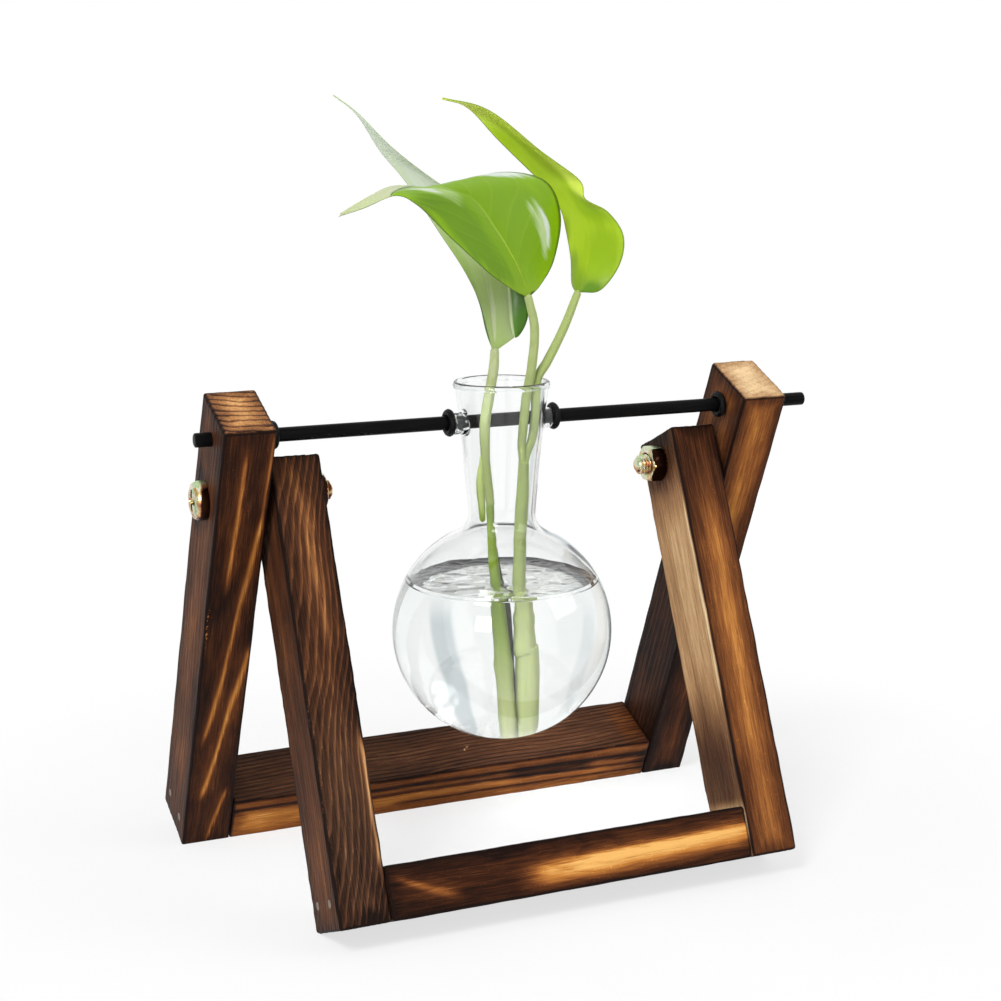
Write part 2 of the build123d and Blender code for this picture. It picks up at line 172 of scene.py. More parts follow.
class Recipe:
    """The nodes of one material or of the world."""

    def __init__(self, tree: bpy.types.NodeTree) -> None:
        """Starts from an empty tree."""
        self.tree = tree
        self.tree.nodes.clear()

    @classmethod
    def material(cls, name: str) -> tuple["Recipe", bpy.types.Material]:
        """Starts a new material.

        Args:
            name: The material's name.

        Returns:
            Its recipe and the material.
        """
        made = bpy.data.materials.new(name)
        made.use_nodes = True
        return cls(made.node_tree), made

    def node(
        self, kind: str, settings: dict, sockets: dict, output: Union[int, str] = 0
    ) -> Optional[Signal]:
        """Adds one node.

        Args:
            kind: The node's type.
            settings: Its own settings.
            sockets: Values or links by the socket's name or number.
            output: The output that is wanted.

        Returns:
            That output as a Signal, or None for a node that has none.
        """
        made = self.tree.nodes.new(kind)
        for name, value in settings.items():
            setattr(made, name, value)
        for key, value in sockets.items():
            if isinstance(value, Signal):
                self.tree.links.new(value.socket, made.inputs[key])
            else:
                made.inputs[key].default_value = value
        return Signal(self, made.outputs[output]) if len(made.outputs) else None

    def ramp(self, factor: Signal, *stops: tuple[float, Colour]) -> Signal:
        """A colour that follows a number through stops, pairs of a place and a colour."""
        ramp = self.node("ShaderNodeValToRGB", {}, {0: factor})
        elements = ramp.socket.node.color_ramp.elements
        while len(elements) < len(stops):
            elements.new(0.5)
        for element, (place, colour) in zip(elements, stops):
            element.position = place
            element.color = colour
        return ramp

    def mix(self, factor: Number, first: Union[Signal, Colour], second: Union[Signal, Colour]) -> Signal:
        """A colour between two colours."""
        sockets = {0: factor, 6: first, 7: second}
        return self.node("ShaderNodeMix", {"data_type": "RGBA"}, sockets, 2)

    def point(self, kind: str) -> Signal:
        """What the point's Object, Normal or Generated coordinates are."""
        return self.node("ShaderNodeTexCoord", {}, {}, kind)

    def ray(self, kind: str) -> Signal:
        """1 for rays of a kind, such as Camera, and 0 for others."""
        return self.node("ShaderNodeLightPath", {}, {}, f"Is {kind} Ray")

    def place(self) -> tuple[Signal, Signal, Signal]:
        """The point's place at rest in millimetres, as three numbers."""
        sockets = {0: self.point("Object"), 3: 1 / MM}
        return self.split(self.node("ShaderNodeVectorMath", {"operation": "SCALE"}, sockets))

    def split(self, vector: Signal) -> tuple[Signal, Signal, Signal]:
        """A vector's three numbers."""
        node = self.node("ShaderNodeSeparateXYZ", {}, {0: vector}).socket.node
        return tuple(Signal(self, output) for output in node.outputs)

    def join(self, x: Number, y: Number, z: Number) -> Signal:
        """A vector from three numbers."""
        return self.node("ShaderNodeCombineXYZ", {}, {0: x, 1: y, 2: z})

    def noise(self, vector: Signal, scale: float, detail: float = 2.0, seed: float = 0.0) -> Signal:
        """Smooth noise around 0.5.

        Args:
            vector: Where it is read.
            scale: Waves per millimetre.
            detail: How many finer layers it has.
            seed: What makes it differ from other noise.

        Returns:
            A number that is mostly between 0.2 and 0.8.
        """
        sockets = {"Vector": vector, "W": seed, "Scale": scale, "Detail": detail}
        return self.node("ShaderNodeTexNoise", {"noise_dimensions": "4D"}, sockets)

    def bump(self, height: Number, depth: float) -> Signal:
        """A relief.

        Args:
            height: The relief's height from 0 to 1.
            depth: The height that 1 stands for.

        Returns:
            The normal that shows it.
        """
        return self.node("ShaderNodeBump", {}, {"Height": height, "Distance": depth * MM})

    def principled(self, **values: Union[Number, Colour]) -> Signal:
        """The main shader. A socket's name is written with low lines for its spaces."""
        sockets = {name.replace("_", " "): value for name, value in values.items()}
        return self.node("ShaderNodeBsdfPrincipled", {}, sockets)

    def finish(self, shader: Signal) -> None:
        """Joins a shader to the material's output."""
        self.node("ShaderNodeOutputMaterial", {}, {"Surface": shader})


def node_points(node: str) -> np.ndarray:
    """Corners of a CAD node's mesh at rest, in millimetres."""
    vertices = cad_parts[node].data.vertices
    flat = np.zeros(len(vertices) * 3)
    vertices.foreach_get("co", flat)
    return flat.reshape(-1, 3) / MM


def corners(node: str) -> tuple[np.ndarray, np.ndarray]:
    """Lowest and highest corner of a CAD node's box, in millimetres."""
    points = node_points(node)
    return points.min(0), points.max(0)


def turn(angle: float) -> np.ndarray:
    """The matrix of a turn about X by an angle in degrees."""
    return np.array(Matrix.Rotation(math.radians(angle), 3, "X"))


def grid_faces(rows: int, columns: int, loop: bool = True) -> Faces:
    """Faces of a grid of points.

    Args:
        rows: Number of rows.
        columns: Points in each row.
        loop: Whether each row's last point joins its first.

    Returns:
        The faces, with their corners in order.
    """
    across = range(columns) if loop else range(columns - 1)
    return [
        (r * columns + c, r * columns + (c + 1) % columns,
         (r + 1) * columns + (c + 1) % columns, (r + 1) * columns + c)
        for r in range(rows - 1) for c in across
    ]


def spline(points: np.ndarray, steps: int) -> np.ndarray:
    """A smooth line through points.

    Args:
        points: The points, one in each row, of any number of columns.
        steps: Points between two given ones.

    Returns:
        The line's points, evenly stepped between the given ones.
    """
    held = np.concatenate([2 * points[:1] - points[1:2], points, 2 * points[-1:] - points[-2:-1]])
    line = []
    for a, b, c, d in zip(held, held[1:], held[2:], held[3:]):
        for step in range(steps):
            t = step / steps
            line.append(0.5 * (
                2 * b + (c - a) * t + (2 * a - 5 * b + 4 * c - d) * t**2
                + (3 * b - a - 3 * c + d) * t**3
            ))
    line.append(points[-1])
    return np.array(line)


def ripple(points: np.ndarray, size: float, seed: int) -> np.ndarray:
    """Smooth unevenness, made of waves in several directions.

    Args:
        points: Where it is read.
        size: Typical length of a wave.
        seed: What makes it differ from another.

    Returns:
        A number around 0, mostly between -1 and 1, for each point.
    """
    chance = np.random.default_rng(seed)
    waves = 7
    total = np.zeros(len(points))
    for _ in range(waves):
        direction = chance.normal(size=3)
        direction *= 2 * math.pi / size / np.linalg.norm(direction) * chance.uniform(0.6, 1.6)
        total += np.sin(points @ direction + chance.uniform(0, 2 * math.pi))
    return total / math.sqrt(waves)


def new_mesh(name: str, points: np.ndarray, faces: Faces) -> bpy.types.Mesh:
    """Makes a mesh from points in millimetres."""
    mesh = bpy.data.meshes.new(name)
    mesh.from_pydata((np.asarray(points) * MM).tolist(), [], faces)
    return mesh


def seal(mesh: bpy.types.Mesh) -> None:
    """Joins a mesh's doubled points, drops its loose edges and turns its faces outwards."""
    form = bmesh.new()
    form.from_mesh(mesh)
    bmesh.ops.remove_doubles(form, verts=form.verts, dist=WELD * MM)
    loose = [edge for edge in form.edges if edge.is_wire]
    bmesh.ops.delete(form, geom=loose, context="EDGES")
    bmesh.ops.recalc_face_normals(form, faces=form.faces)
    if form.calc_volume(signed=True) < 0:
        bmesh.ops.reverse_faces(form, faces=form.faces)
    form.to_mesh(mesh)
    form.free()


def show(name: str, data: bpy.types.ID) -> bpy.types.Object:
    """Puts a mesh, a lamp or a camera in the scene."""
    shown = bpy.data.objects.new(name, data)
    bpy.context.scene.collection.objects.link(shown)
    return shown


def make_piece(
    name: str,
    points: np.ndarray,
    faces: Faces,
    material: bpy.types.Material,
    body: str,
    slot: str,
    *nodes: str,
) -> bpy.types.Object:
    """Builds a mesh, dresses it and joins it to its CAD body.

    Args:
        name: The piece's name.
        points: Its corners in millimetres, in the stand's frame.
        faces: Its faces.
        material: Its finish.
        body: The body that it rides on.
        slot: The record's material slot; not used.
        *nodes: The CAD nodes that it stands for.

    Returns:
        The piece.
    """
    mesh = new_mesh(name, points, faces)
    seal(mesh)
    mesh.shade_smooth()
    mesh.set_sharp_from_angle(angle=SHARP_ANGLE)
    mesh.materials.append(material)
    piece = show(name, mesh)
    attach(piece, body)
    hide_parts(*nodes)
    log.info("%s: %d faces on %s", name, len(mesh.polygons), body)
    return piece


class Side(Enum):
    """A bar's faces before its frame leans: the axis across the face and the way it looks."""

    LEFT = (0, -1)
    RIGHT = (0, 1)
    FRONT = (1, -1)
    BACK = (1, 1)
    UNDER = (2, -1)
    TOP = (2, 1)


@dataclass(frozen=True)
class Timber:
    """How a bar was cut from its tree.

    Attributes:
        pith: The ring centre at the bar's middle, along the two axes across the bar.
        drift: How far it wanders from the middle to the end, along the same axes.
        sway: How far it swings from side to side on the way.
        swings: Half waves over the bar.
        ring: Width of one year's ring.
        figure: How far its rings waver, in rings.
        relief: Depth of the brushed grooves.
    """

    pith: tuple[float, float]
    drift: tuple[float, float]
    sway: float
    swings: float
    ring: float
    figure: float = 1.5
    relief: float = 0.06

    def year(self, first: Number, second: Number, share: Number) -> Number:
        """How many years' growth lies between the ring centre and a point.

        Args:
            first: The point's place along the first axis across the bar.
            second: The same along the second.
            share: Its place along the bar, from -1 to 1.

        Returns:
            The number of rings.
        """
        swing = sine(share * self.swings * math.pi) * self.sway
        first = first - (share * self.drift[0] + swing + self.pith[0])
        second = second - (share * self.drift[1] + swing * 0.4 + self.pith[1])
        return (first * first + second * second) ** 0.5 / self.ring

    @staticmethod
    def late(year: Number) -> Number:
        """How far a point lies in the hard late wood of its ring, from 0 to 1."""
        part = year % 1.0
        return smooth(part, 0.45, 0.88) * smooth(part, 1.0, 0.92)


@dataclass(frozen=True)
class Tone:
    """How one face of a bar was scorched.

    Attributes:
        side: The face.
        char: From 0, bare wood, to 1, black.
        lines: How strongly the rings show. Below 0 they show paler.
        pale: How far brushing has greyed it.
        burn: How far the flame has darkened it along its sides.
    """

    side: Side
    char: float
    lines: float = 0.1
    pale: float = 0.0
    burn: float = 0.1


@dataclass(frozen=True)
class Streak:
    """A long mark on one face of a bar. Places are shares from -1 to 1 of the face's half sizes.

    Attributes:
        start: Its first end, across the face and along the bar.
        end: Its other end.
        width: Half its width.
        char: What it adds to the scorching. Below 0 it is bare wood.
        bow: How far its middle bends sideways.
        broken: How far it breaks up into specks.
        pale: What it adds to the greyness.
        fade: The share of its length over which each end fades out.
        side: The face.
    """

    start: tuple[float, float]
    end: tuple[float, float]
    width: float
    char: float
    bow: float = 0.0
    broken: float = 0.0
    pale: float = 0.0
    fade: float = 0.2
    side: Side = Side.FRONT


@dataclass(frozen=True)
class WoodFinish:
    """Scorched and brushed softwood, painted pale grey where it is seen through the glass.

    Attributes:
        timber: How the bar was cut.
        tones: The scorching of its faces.
        streaks: Its marks.
        edge: How dark its edges are.
        blotch: How unevenly it is scorched.
    """

    timber: Timber
    tones: tuple[Tone, ...]
    streaks: tuple[Streak, ...] = ()
    edge: float = 0.55
    blotch: float = 0.5

    def dress(self, bar: "Bar") -> bpy.types.Material:
        """Makes the bar's material.

        Args:
            bar: The bar, which gives the place, the size and the direction.

        Returns:
            The material.
        """
        recipe, material = Recipe.material(f"wood_{bar.node}")
        back = Matrix(turn(-bar.lean).tolist())
        settings = {"vector_type": "POINT"}
        sockets = {
            "Vector": recipe.point("Object"),
            "Location": Vector(-bar.middle),
            "Rotation": back.to_euler(),
            "Scale": Vector((1 / MM,) * 3),
        }
        place = recipe.split(recipe.node("ShaderNodeMapping", settings, sockets))
        sockets = {"Vector": recipe.point("Normal"), "Rotation": back.to_euler()}
        normal = recipe.node("ShaderNodeMapping", {"vector_type": "VECTOR"}, sockets)
        facing = recipe.split(normal)

        first, second = [place[axis] for axis in bar.across]
        share = place[bar.along] / bar.half[bar.along]
        whole = recipe.join(*place)
        fibres = self.stretched(recipe, bar, place, 0.045)
        blots = self.stretched(recipe, bar, place, 0.3)
        wander = recipe.noise(fibres, 0.16, 1.0, bar.seed) - 0.5
        mottle = recipe.noise(blots, 0.14, 3.0, bar.seed + 0.2) - 0.5
        fine = recipe.noise(fibres, 3.4, 3.0, bar.seed + 0.3) - 0.5
        fibre = recipe.noise(fibres, 1.1, 3.0, bar.seed + 0.6) - 0.5
        cloud = recipe.noise(whole, 0.045, 2.0, bar.seed + 0.9) - 0.5
        grit = recipe.noise(whole, 1.6, 2.0, bar.seed + 1.3)
        year = self.timber.year(first, second, share) + wander * 1.2 + mottle * self.timber.figure
        late = self.timber.late(year)

        levels: dict[str, Number] = {"char": 0.6, "lines": 0.1, "pale": 0.0, "burn": 0.1}
        masks = {}
        for tone in self.tones:
            axis, sign = tone.side.value
            mask = smooth(facing[axis] * sign, 0.45, 0.8)
            masks[tone.side] = mask
            for name, level in levels.items():
                levels[name] = (getattr(tone, name) - level) * mask + level
        char, lines, pale, burn = levels.values()
        char = char + late * lines + fine * 0.5 + fibre * 0.34
        char = char + mottle * self.blotch + cloud * (0.7 * self.blotch)
        char = char - smooth(grit, 0.6, 0.74) * 0.1
        for streak in self.streaks:
            mark = self.mark(streak, bar, place, share, grit, wander * 3 + fine) * masks[streak.side]
            char = char + mark * streak.char
            pale = pale + mark * streak.pale
        char = char + self.scorch(bar, place, cloud, 7.0) * burn
        char = char + self.scorch(bar, place, cloud, 1.1) * self.edge

        colour = recipe.ramp(
            char,
            (0.0, shade(238, 182, 104)), (0.2, shade(198, 130, 60)), (0.42, shade(142, 84, 40)),
            (0.62, shade(92, 51, 26)), (0.82, shade(54, 28, 15)), (1.0, shade(24, 12, 8)),
        )
        grey = recipe.ramp(
            char,
            (0.0, shade(240, 214, 172)), (0.35, shade(180, 144, 104)),
            (0.65, shade(100, 72, 54)), (1.0, shade(30, 19, 14)),
        )
        colour = recipe.mix(pale, colour, grey)
        # Painted light: rays that come through the glass see the wood mixed three quarters of the way to
        # pale grey
        colour = recipe.mix(recipe.ray("Transmission") * 0.75, colour, shade(214, 214, 212))
        height = late * 0.4 + fine * 0.9 + fibre * 0.5 + grit * 0.2
        recipe.finish(recipe.principled(
            Base_Color=colour,
            Roughness=fibre * 0.3 + char * -0.1 + 0.62,
            Specular_IOR_Level=0.07,
            Normal=recipe.bump(height, 0.2),
        ))
        return material

    @staticmethod
    def stretched(recipe: Recipe, bar: "Bar", place: tuple, squeeze: float) -> Signal:
        """The point's place with its way along the bar squeezed, for noise that follows the grain."""
        return recipe.join(*[place[axis] * (squeeze if axis == bar.along else 1.0) for axis in range(3)])

    @staticmethod
    def mark(
        streak: Streak, bar: "Bar", place: tuple, share: Signal, grit: Signal, stray: Signal
    ) -> Signal:
        """Where a streak lies.

        Args:
            streak: The streak.
            bar: Its bar.
            place: The point's place in the bar.
            share: Its place along the bar, from -1 to 1.
            grit: Fine noise, which breaks the streak up.
            stray: Noise in millimetres around 0, which makes it wander.

        Returns:
            1 in its middle and 0 outside.
        """
        over = next(axis for axis in bar.across if axis != streak.side.value[0])
        half = bar.half[over]
        gone = (share - streak.start[1]) / (streak.end[1] - streak.start[1])
        middle = gone * ((streak.end[0] - streak.start[0]) * half) + streak.start[0] * half
        middle = middle + gone * (1 - gone) * (4 * streak.bow)
        away = abs(place[over] - middle + stray)
        mark = smooth(away, streak.width, 0.0) * 0.7 + smooth(away, streak.width * 3, 0.0) * 0.3
        mark = mark * smooth(gone, 0.0, streak.fade) * smooth(gone, 1.0, 1 - streak.fade)
        if streak.broken:
            low = 0.35 + 0.2 * streak.broken
            mark = mark * smooth(grit, low, low + 0.08)
        return mark

    @staticmethod
    def scorch(bar: "Bar", place: tuple, cloud: Signal, reach: float) -> Signal:
        """How near a point is to one of the bar's edges: 1 on it and 0 at the reach."""
        away = [bar.half[axis] - abs(place[axis]) for axis in range(3)]
        first, second = [away[axis] for axis in bar.across]
        nearest = most(least(first, second), least(most(first, second), away[bar.along]))
        return smooth(nearest + cloud * reach, reach, 0.0)


@dataclass
class Bar:
    """One wooden bar of the stand, worn and brushed.

    Attributes:
        node: The CAD node that gives its size and place.
        body: The body that it rides on.
        lean: How far its frame leans, in degrees.
        along: The axis that it runs along before it leans.
        finish: Its wood.
        seed: What makes its unevenness differ.
        edge_round: Radius of its edges.
        wear: How far that radius changes along an edge, as a share.
        step: Distance between the mesh's lines across the bar.
        stride: The same along the bar.
    """

    node: str
    body: str
    lean: float
    along: int
    finish: WoodFinish
    seed: int
    edge_round: float = 0.9
    wear: float = 0.3
    step: float = 0.5
    stride: float = 1.3

    def __post_init__(self) -> None:
        """Works out the bar's own box from its CAD node."""
        local = node_points(self.node) @ turn(-self.lean).T
        low, high = local.min(0), local.max(0)
        self.middle = (low + high) / 2
        self.half = ((high - low) / 2).tolist()
        self.across = [axis for axis in range(3) if axis != self.along]

    def lines(self, axis: int) -> np.ndarray:
        """Places of the mesh's lines along one axis, close together at the ends."""
        half, reach = self.half[axis], 2 * self.edge_round
        near = half - reach * np.array([0, 0.12, 0.28, 0.46, 0.7, 1.0])
        gap = self.stride if axis == self.along else self.step
        count = max(3, round(2 * near[-1] / gap) + 1)
        return np.concatenate([-near[:-1], np.linspace(-near[-1], near[-1], count), near[-2::-1]])

    def surface(self) -> tuple[np.ndarray, Faces]:
        """The points and faces of a box with the bar's lines on all six sides."""
        steps = [self.lines(axis) for axis in range(3)]
        points, faces, known = [], [], {}

        def corner(key: tuple[int, int, int]) -> int:
            if key not in known:
                known[key] = len(points)
                points.append([steps[axis][key[axis]] for axis in range(3)])
            return known[key]

        for axis in range(3):
            one, two = [other for other in range(3) if other != axis]
            for end in (0, len(steps[axis]) - 1):
                for i in range(len(steps[one]) - 1):
                    for j in range(len(steps[two]) - 1):
                        ring = []
                        for a, b in ((i, j), (i + 1, j), (i + 1, j + 1), (i, j + 1)):
                            key = [0, 0, 0]
                            key[axis], key[one], key[two] = end, a, b
                            ring.append(corner(tuple(key)))
                        faces.append(tuple(ring))
        return np.array(points), faces

    def worn(self, points: np.ndarray) -> np.ndarray:
        """Rounds the box's edges unevenly and sinks the brushed grooves.

        Args:
            points: The box's points, about the bar's middle.

        Returns:
            The points of the worn bar.
        """
        radius = self.edge_round * (1 + self.wear * ripple(points, 9.0, self.seed) * 0.5)
        chips = smooth(ripple(points, 4.0, self.seed + 40), 1.5, 2.2)
        radius = np.clip(radius + chips * self.edge_round, 0.35, 2 * self.edge_round)[:, None]
        half = np.array(self.half)
        core = np.clip(points, -half + radius, half - radius)
        outwards = points - core
        outwards /= np.linalg.norm(outwards, axis=1)[:, None]
        first, second = [points[:, axis] for axis in self.across]
        share = points[:, self.along] / self.half[self.along]
        late = self.finish.timber.late(self.finish.timber.year(first, second, share))
        sunk = (1 - late) * self.finish.timber.relief
        sunk = sunk + 0.05 * (1 + ripple(points, 14.0, self.seed + 80).clip(-1, 1))
        return core + outwards * (radius - sunk[:, None])

    def build(self) -> None:
        """Makes the bar, leans it and lets its foot stand flat on the floor."""
        points, faces = self.surface()
        points = (self.worn(points) + self.middle) @ turn(self.lean).T
        points[:, 2] = points[:, 2].clip(min=0)
        material = self.finish.dress(self)
        make_piece(f"{self.node}_worn", points, faces, material, self.body, "dark_wood", self.node)


@dataclass(frozen=True)
class Plating:
    """Yellow zinc plate, with the green and pink bloom of its passivation, and painted light and shade by
    face direction.
    """

    name: str = "yellow_zinc"

    def dress(self) -> bpy.types.Material:
        """Makes the material."""
        recipe, material = Recipe.material(self.name)
        whole = recipe.join(*recipe.place())
        bloom = recipe.noise(whole, 0.45, 2.0, 4.0)
        grain = recipe.noise(whole, 5.0, 2.0, 5.0)
        facing = recipe.point("Normal")
        # Painted reflections: noise read from the face's direction gives each facet its own brightness
        painted_facet_glint = recipe.noise(facing, 2.3, 0.0, 6.3) - 0.5
        across, away, up = recipe.split(facing)
        # Painted light and shade: upward faces paler, faces turned to the front and to +X darker
        painted_flank_shade = smooth(abs(across), 0.5, 0.15) * most(away * -1.0, 0.0)
        tone = up * 0.2 - painted_flank_shade * 0.34 - across * 0.06 + painted_facet_glint * 0.5 + bloom * 0.5
        colour = recipe.ramp(
            tone + 0.2,
            (0.26, shade(44, 24, 14)), (0.38, shade(180, 118, 96)), (0.45, shade(206, 168, 92)),
            (0.54, shade(240, 234, 212)), (0.64, shade(170, 204, 136)), (0.8, shade(214, 222, 190)),
        )
        recipe.finish(recipe.principled(
            Base_Color=colour,
            Metallic=1.0,
            Roughness=grain * 0.3 + 0.16,
            Normal=recipe.bump(grain, 0.02),
        ))
        return material


@dataclass(frozen=True)
class Enamel:
    """Black baked paint on the rod, with faint streaks drawn along it."""

    name: str = "black_enamel"

    def dress(self) -> bpy.types.Material:
        """Makes the material."""
        recipe, material = Recipe.material(self.name)
        x, y, z = recipe.place()
        drawn = recipe.noise(recipe.join(x * 0.08, y, z), 1.6, 3.0, 7.0)
        skin = recipe.noise(recipe.join(x, y, z), 2.5, 2.0, 8.0)
        colour = recipe.ramp(drawn, (0.3, shade(5, 5, 6)), (0.75, shade(17, 16, 16)))
        recipe.finish(recipe.principled(
            Base_Color=colour,
            Roughness=skin * 0.3 + 0.2,
            Specular_IOR_Level=0.06,
            Normal=recipe.bump(skin + drawn, 0.03),
        ))
        return material


@dataclass(frozen=True)
class Stained:
    """A dull skin with stains, for the rubber rings and the brads.

    Attributes:
        name: The material's name.
        clean: Its clean colour, and the noise up to which it shows.
        stain: The stains' colour, and the noise from which it shows.
        scale: Stains in a millimetre.
        seed: What makes the stains differ.
        rough: Roughness where it is clean, and what the stains add.
        specular: How far it shines.
        metallic: 1 for bare metal.
        pits: Depth of its pits.
    """

    name: str
    clean: tuple[float, Colour]
    stain: tuple[float, Colour]
    scale: float
    seed: float
    rough: tuple[float, float]
    specular: float
    metallic: float
    pits: float

    def dress(self) -> bpy.types.Material:
        """Makes the material."""
        recipe, material = Recipe.material(self.name)
        stains = recipe.noise(recipe.join(*recipe.place()), self.scale, 3.0, self.seed)
        recipe.finish(recipe.principled(
            Base_Color=recipe.ramp(stains, self.clean, self.stain),
            Metallic=self.metallic,
            Roughness=stains * self.rough[1] + self.rough[0],
            Specular_IOR_Level=self.specular,
            Normal=recipe.bump(stains, self.pits),
        ))
        return material


# The rings, dusty in places, and the brads
RUBBER = Stained(
    "black_rubber", (0.35, shade(5, 5, 6)), (0.8, shade(26, 25, 24)),
    scale=1.1, seed=9.0, rough=(0.3, 0.3), specular=0.1, metallic=0.0, pits=0.05,
)
BRAD_STEEL = Stained(
    "brad_steel", (0.35, shade(150, 140, 128)), (0.7, shade(98, 78, 62)),
    scale=2.0, seed=11.0, rough=(0.3, 0.4), specular=0.5, metallic=0.85, pits=0.04,
)


@dataclass(frozen=True)
class Clear:
    """Glass or water, which lets light through to what stands behind it.

    Attributes:
        name: The material's name.
        bend: The refractive index.
        tint: The colour that light takes.
        wave: Height of the slow unevenness of its skin.
        swirl: Waves in a millimetre.
        still: Height up to which it lies still against the glass.
    """

    name: str
    bend: float
    tint: Colour
    wave: float
    swirl: float = 0.07
    still: float = 0.0

    def dress(self) -> bpy.types.Material:
        """Makes the material."""
        recipe, material = Recipe.material(self.name)
        x, y, z = recipe.place()
        swirl = recipe.noise(recipe.join(x, y, z * 0.5), self.swirl, 1.0, 13.0)
        body = recipe.principled(
            Base_Color=self.tint,
            Roughness=0.0,
            IOR=self.bend,
            Transmission_Weight=1.0,
            Normal=recipe.bump(swirl * smooth(z, self.still - 0.4, self.still), self.wave),
        )
        open_way = recipe.node("ShaderNodeBsdfTransparent", {}, {"Color": self.tint})
        sockets = {0: recipe.ray("Shadow"), 1: body, 2: open_way}
        recipe.finish(recipe.node("ShaderNodeMixShader", {}, sockets))
        return material


@dataclass(frozen=True)
class StemSkin:
    """The skin of a stalk.

    Attributes:
        low: Its colour at its foot.
        high: Its colour at its top.
        fleck: The colour of its streaks.
        span: Heights of its foot and its top.
        flecked: How much of it the streaks take.
    """

    low: Colour
    high: Colour
    fleck: Colour
    span: tuple[float, float]
    flecked: float = 0.2

    def dress(self, node: str) -> bpy.types.Material:
        """Makes the material for a CAD node's stalk."""
        recipe, material = Recipe.material(f"{node}_skin")
        x, y, z = recipe.place()
        along = recipe.join(x, y, z * 0.12)
        streaks = recipe.noise(along, 1.3, 3.0, self.span[0])
        spots = recipe.noise(recipe.join(x, y, z * 0.5), 0.5, 3.0, self.span[1])
        climb = smooth(z, *self.span)
        colour = recipe.mix(climb, self.low, self.high)
        bound = 0.75 - 0.35 * self.flecked
        flecks = smooth(streaks * 0.5 + spots * 0.5, bound - 0.18, bound + 0.1)
        colour = recipe.mix(flecks, colour, self.fleck)
        recipe.finish(recipe.principled(
            Base_Color=colour,
            Roughness=spots * 0.2 + 0.45,
            Specular_IOR_Level=0.3,
            Subsurface_Weight=0.15,
            Subsurface_Radius=(1.0, 1.0, 0.5),
            Subsurface_Scale=1.0 * MM,
            Normal=recipe.bump(streaks, 0.12),
        ))
        return material


@dataclass(frozen=True)
class Patch:
    """A soft-edged area on a leaf: a painted highlight, painted shade or another tone. Across runs from
    -1 to 1 and along from 0 to 1.

    Attributes:
        place: Its middle, across and along the blade.
        reach: How far it goes from there, across and along.
        colour: Its colour.
        slant: How far its middle moves across for each step along.
        fray: How far it breaks up.
    """

    place: tuple[float, float]
    reach: tuple[float, float]
    colour: Colour
    slant: float = 0.0
    fray: float = 0.4

    def cover(self, over: Signal, along: Signal, ragged: Signal) -> Signal:
        """How far it covers a point.

        Args:
            over: The point's place across the blade.
            along: Its place along the blade.
            ragged: Noise around 0, which frays the edge.

        Returns:
            1 in the middle and 0 outside.
        """
        up = along - self.place[1]
        aside = (over - self.place[0] - up * self.slant) / self.reach[0]
        up = up / self.reach[1]
        away = (aside * aside + up * up) ** 0.5
        return smooth(away + ragged * self.fray, 1.0, 0.45)


@dataclass(frozen=True)
class LeafSkin:
    """The waxy skin of one side of a leaf. It reads the blade's own two directions.

    Attributes:
        name: The material's name.
        blade: The colour between the veins.
        light: The colour towards the edges.
        vein: The colour of the veins.
        base: The colour near the stalk.
        edge: The colour of the thin line along the edge.
        tip: The colour of the tip.
        gloss: Roughness of the wax.
        ribs: How clearly the side veins show.
        rib: Half the midrib's width, as a share of the blade's.
        rib_end: Where the midrib has faded out along the blade.
        tip_from: Where the tip's colour starts along the blade, and where it is full.
        patches: Its painted highlights, painted shade and areas of other tone.
    """

    name: str
    blade: Colour
    light: Colour
    vein: Colour
    base: Colour
    edge: Colour
    tip: Colour
    gloss: float = 0.3
    ribs: float = 0.3
    rib: float = 0.02
    rib_end: float = 0.7
    tip_from: tuple[float, float] = (0.78, 0.92)
    patches: tuple[Patch, ...] = ()

    def dress(self) -> bpy.types.Material:
        """Makes the material."""
        recipe, material = Recipe.material(self.name)
        spread = recipe.node("ShaderNodeAttribute", {"attribute_name": "blade"}, {}, "Vector")
        over, along, half = recipe.split(spread)
        whole = recipe.join(*recipe.place())
        cloud = recipe.noise(whole, 0.06, 2.0, 21.0) - 0.5
        cells = recipe.noise(whole, 1.1, 1.0, 22.0)
        fibres = recipe.noise(recipe.join(over * half * 0.5, along * 6, 0), 1.0, 1.0, 23.0) - 0.5
        wide = abs(over)
        slant = along * VEINS - wide * VEIN_CLIMB + cloud * 0.6
        side = abs((slant % 1.0) - 0.5) * 2
        side_vein = smooth(side, 0.84, 1.0) * smooth(wide, 1.0, 0.55) * smooth(half, 3.0, 9.0)
        side_vein = side_vein * self.ribs
        midrib = smooth(wide, self.rib * 2, self.rib * 0.5)
        midrib = midrib * smooth(along, self.rib_end, self.rib_end - 0.4)
        vein = most(midrib, side_vein)
        outer = smooth(wide * 0.6 + cloud + fibres * 0.3, 0.3, 0.75)
        colour = recipe.mix(outer, self.blade, self.light)
        colour = recipe.mix(smooth(along + cloud * 0.3, 0.26, 0.02), colour, self.base)
        colour = recipe.mix(smooth(along + fibres * 0.06, *self.tip_from), colour, self.tip)
        # Patches paint highlights and shade, and other tones, over the blade
        for patch in self.patches:
            colour = recipe.mix(patch.cover(over, along, fibres + cloud), colour, patch.colour)
        colour = recipe.mix(vein * 0.8, colour, self.vein)
        colour = recipe.mix(smooth(wide + cloud * 0.02, 0.955, 0.985) * 0.8, colour, self.edge)
        recipe.finish(recipe.principled(
            Base_Color=colour,
            Roughness=cells * 0.2 + self.gloss,
            Specular_IOR_Level=0.3,
            Coat_Weight=0.08,
            Coat_Roughness=0.2,
            Subsurface_Weight=0.15,
            Subsurface_Radius=(1.0, 1.0, 0.4),
            Subsurface_Scale=0.5 * MM,
            Normal=recipe.bump(cells * 0.1 - vein, 0.1),
        ))
        return material


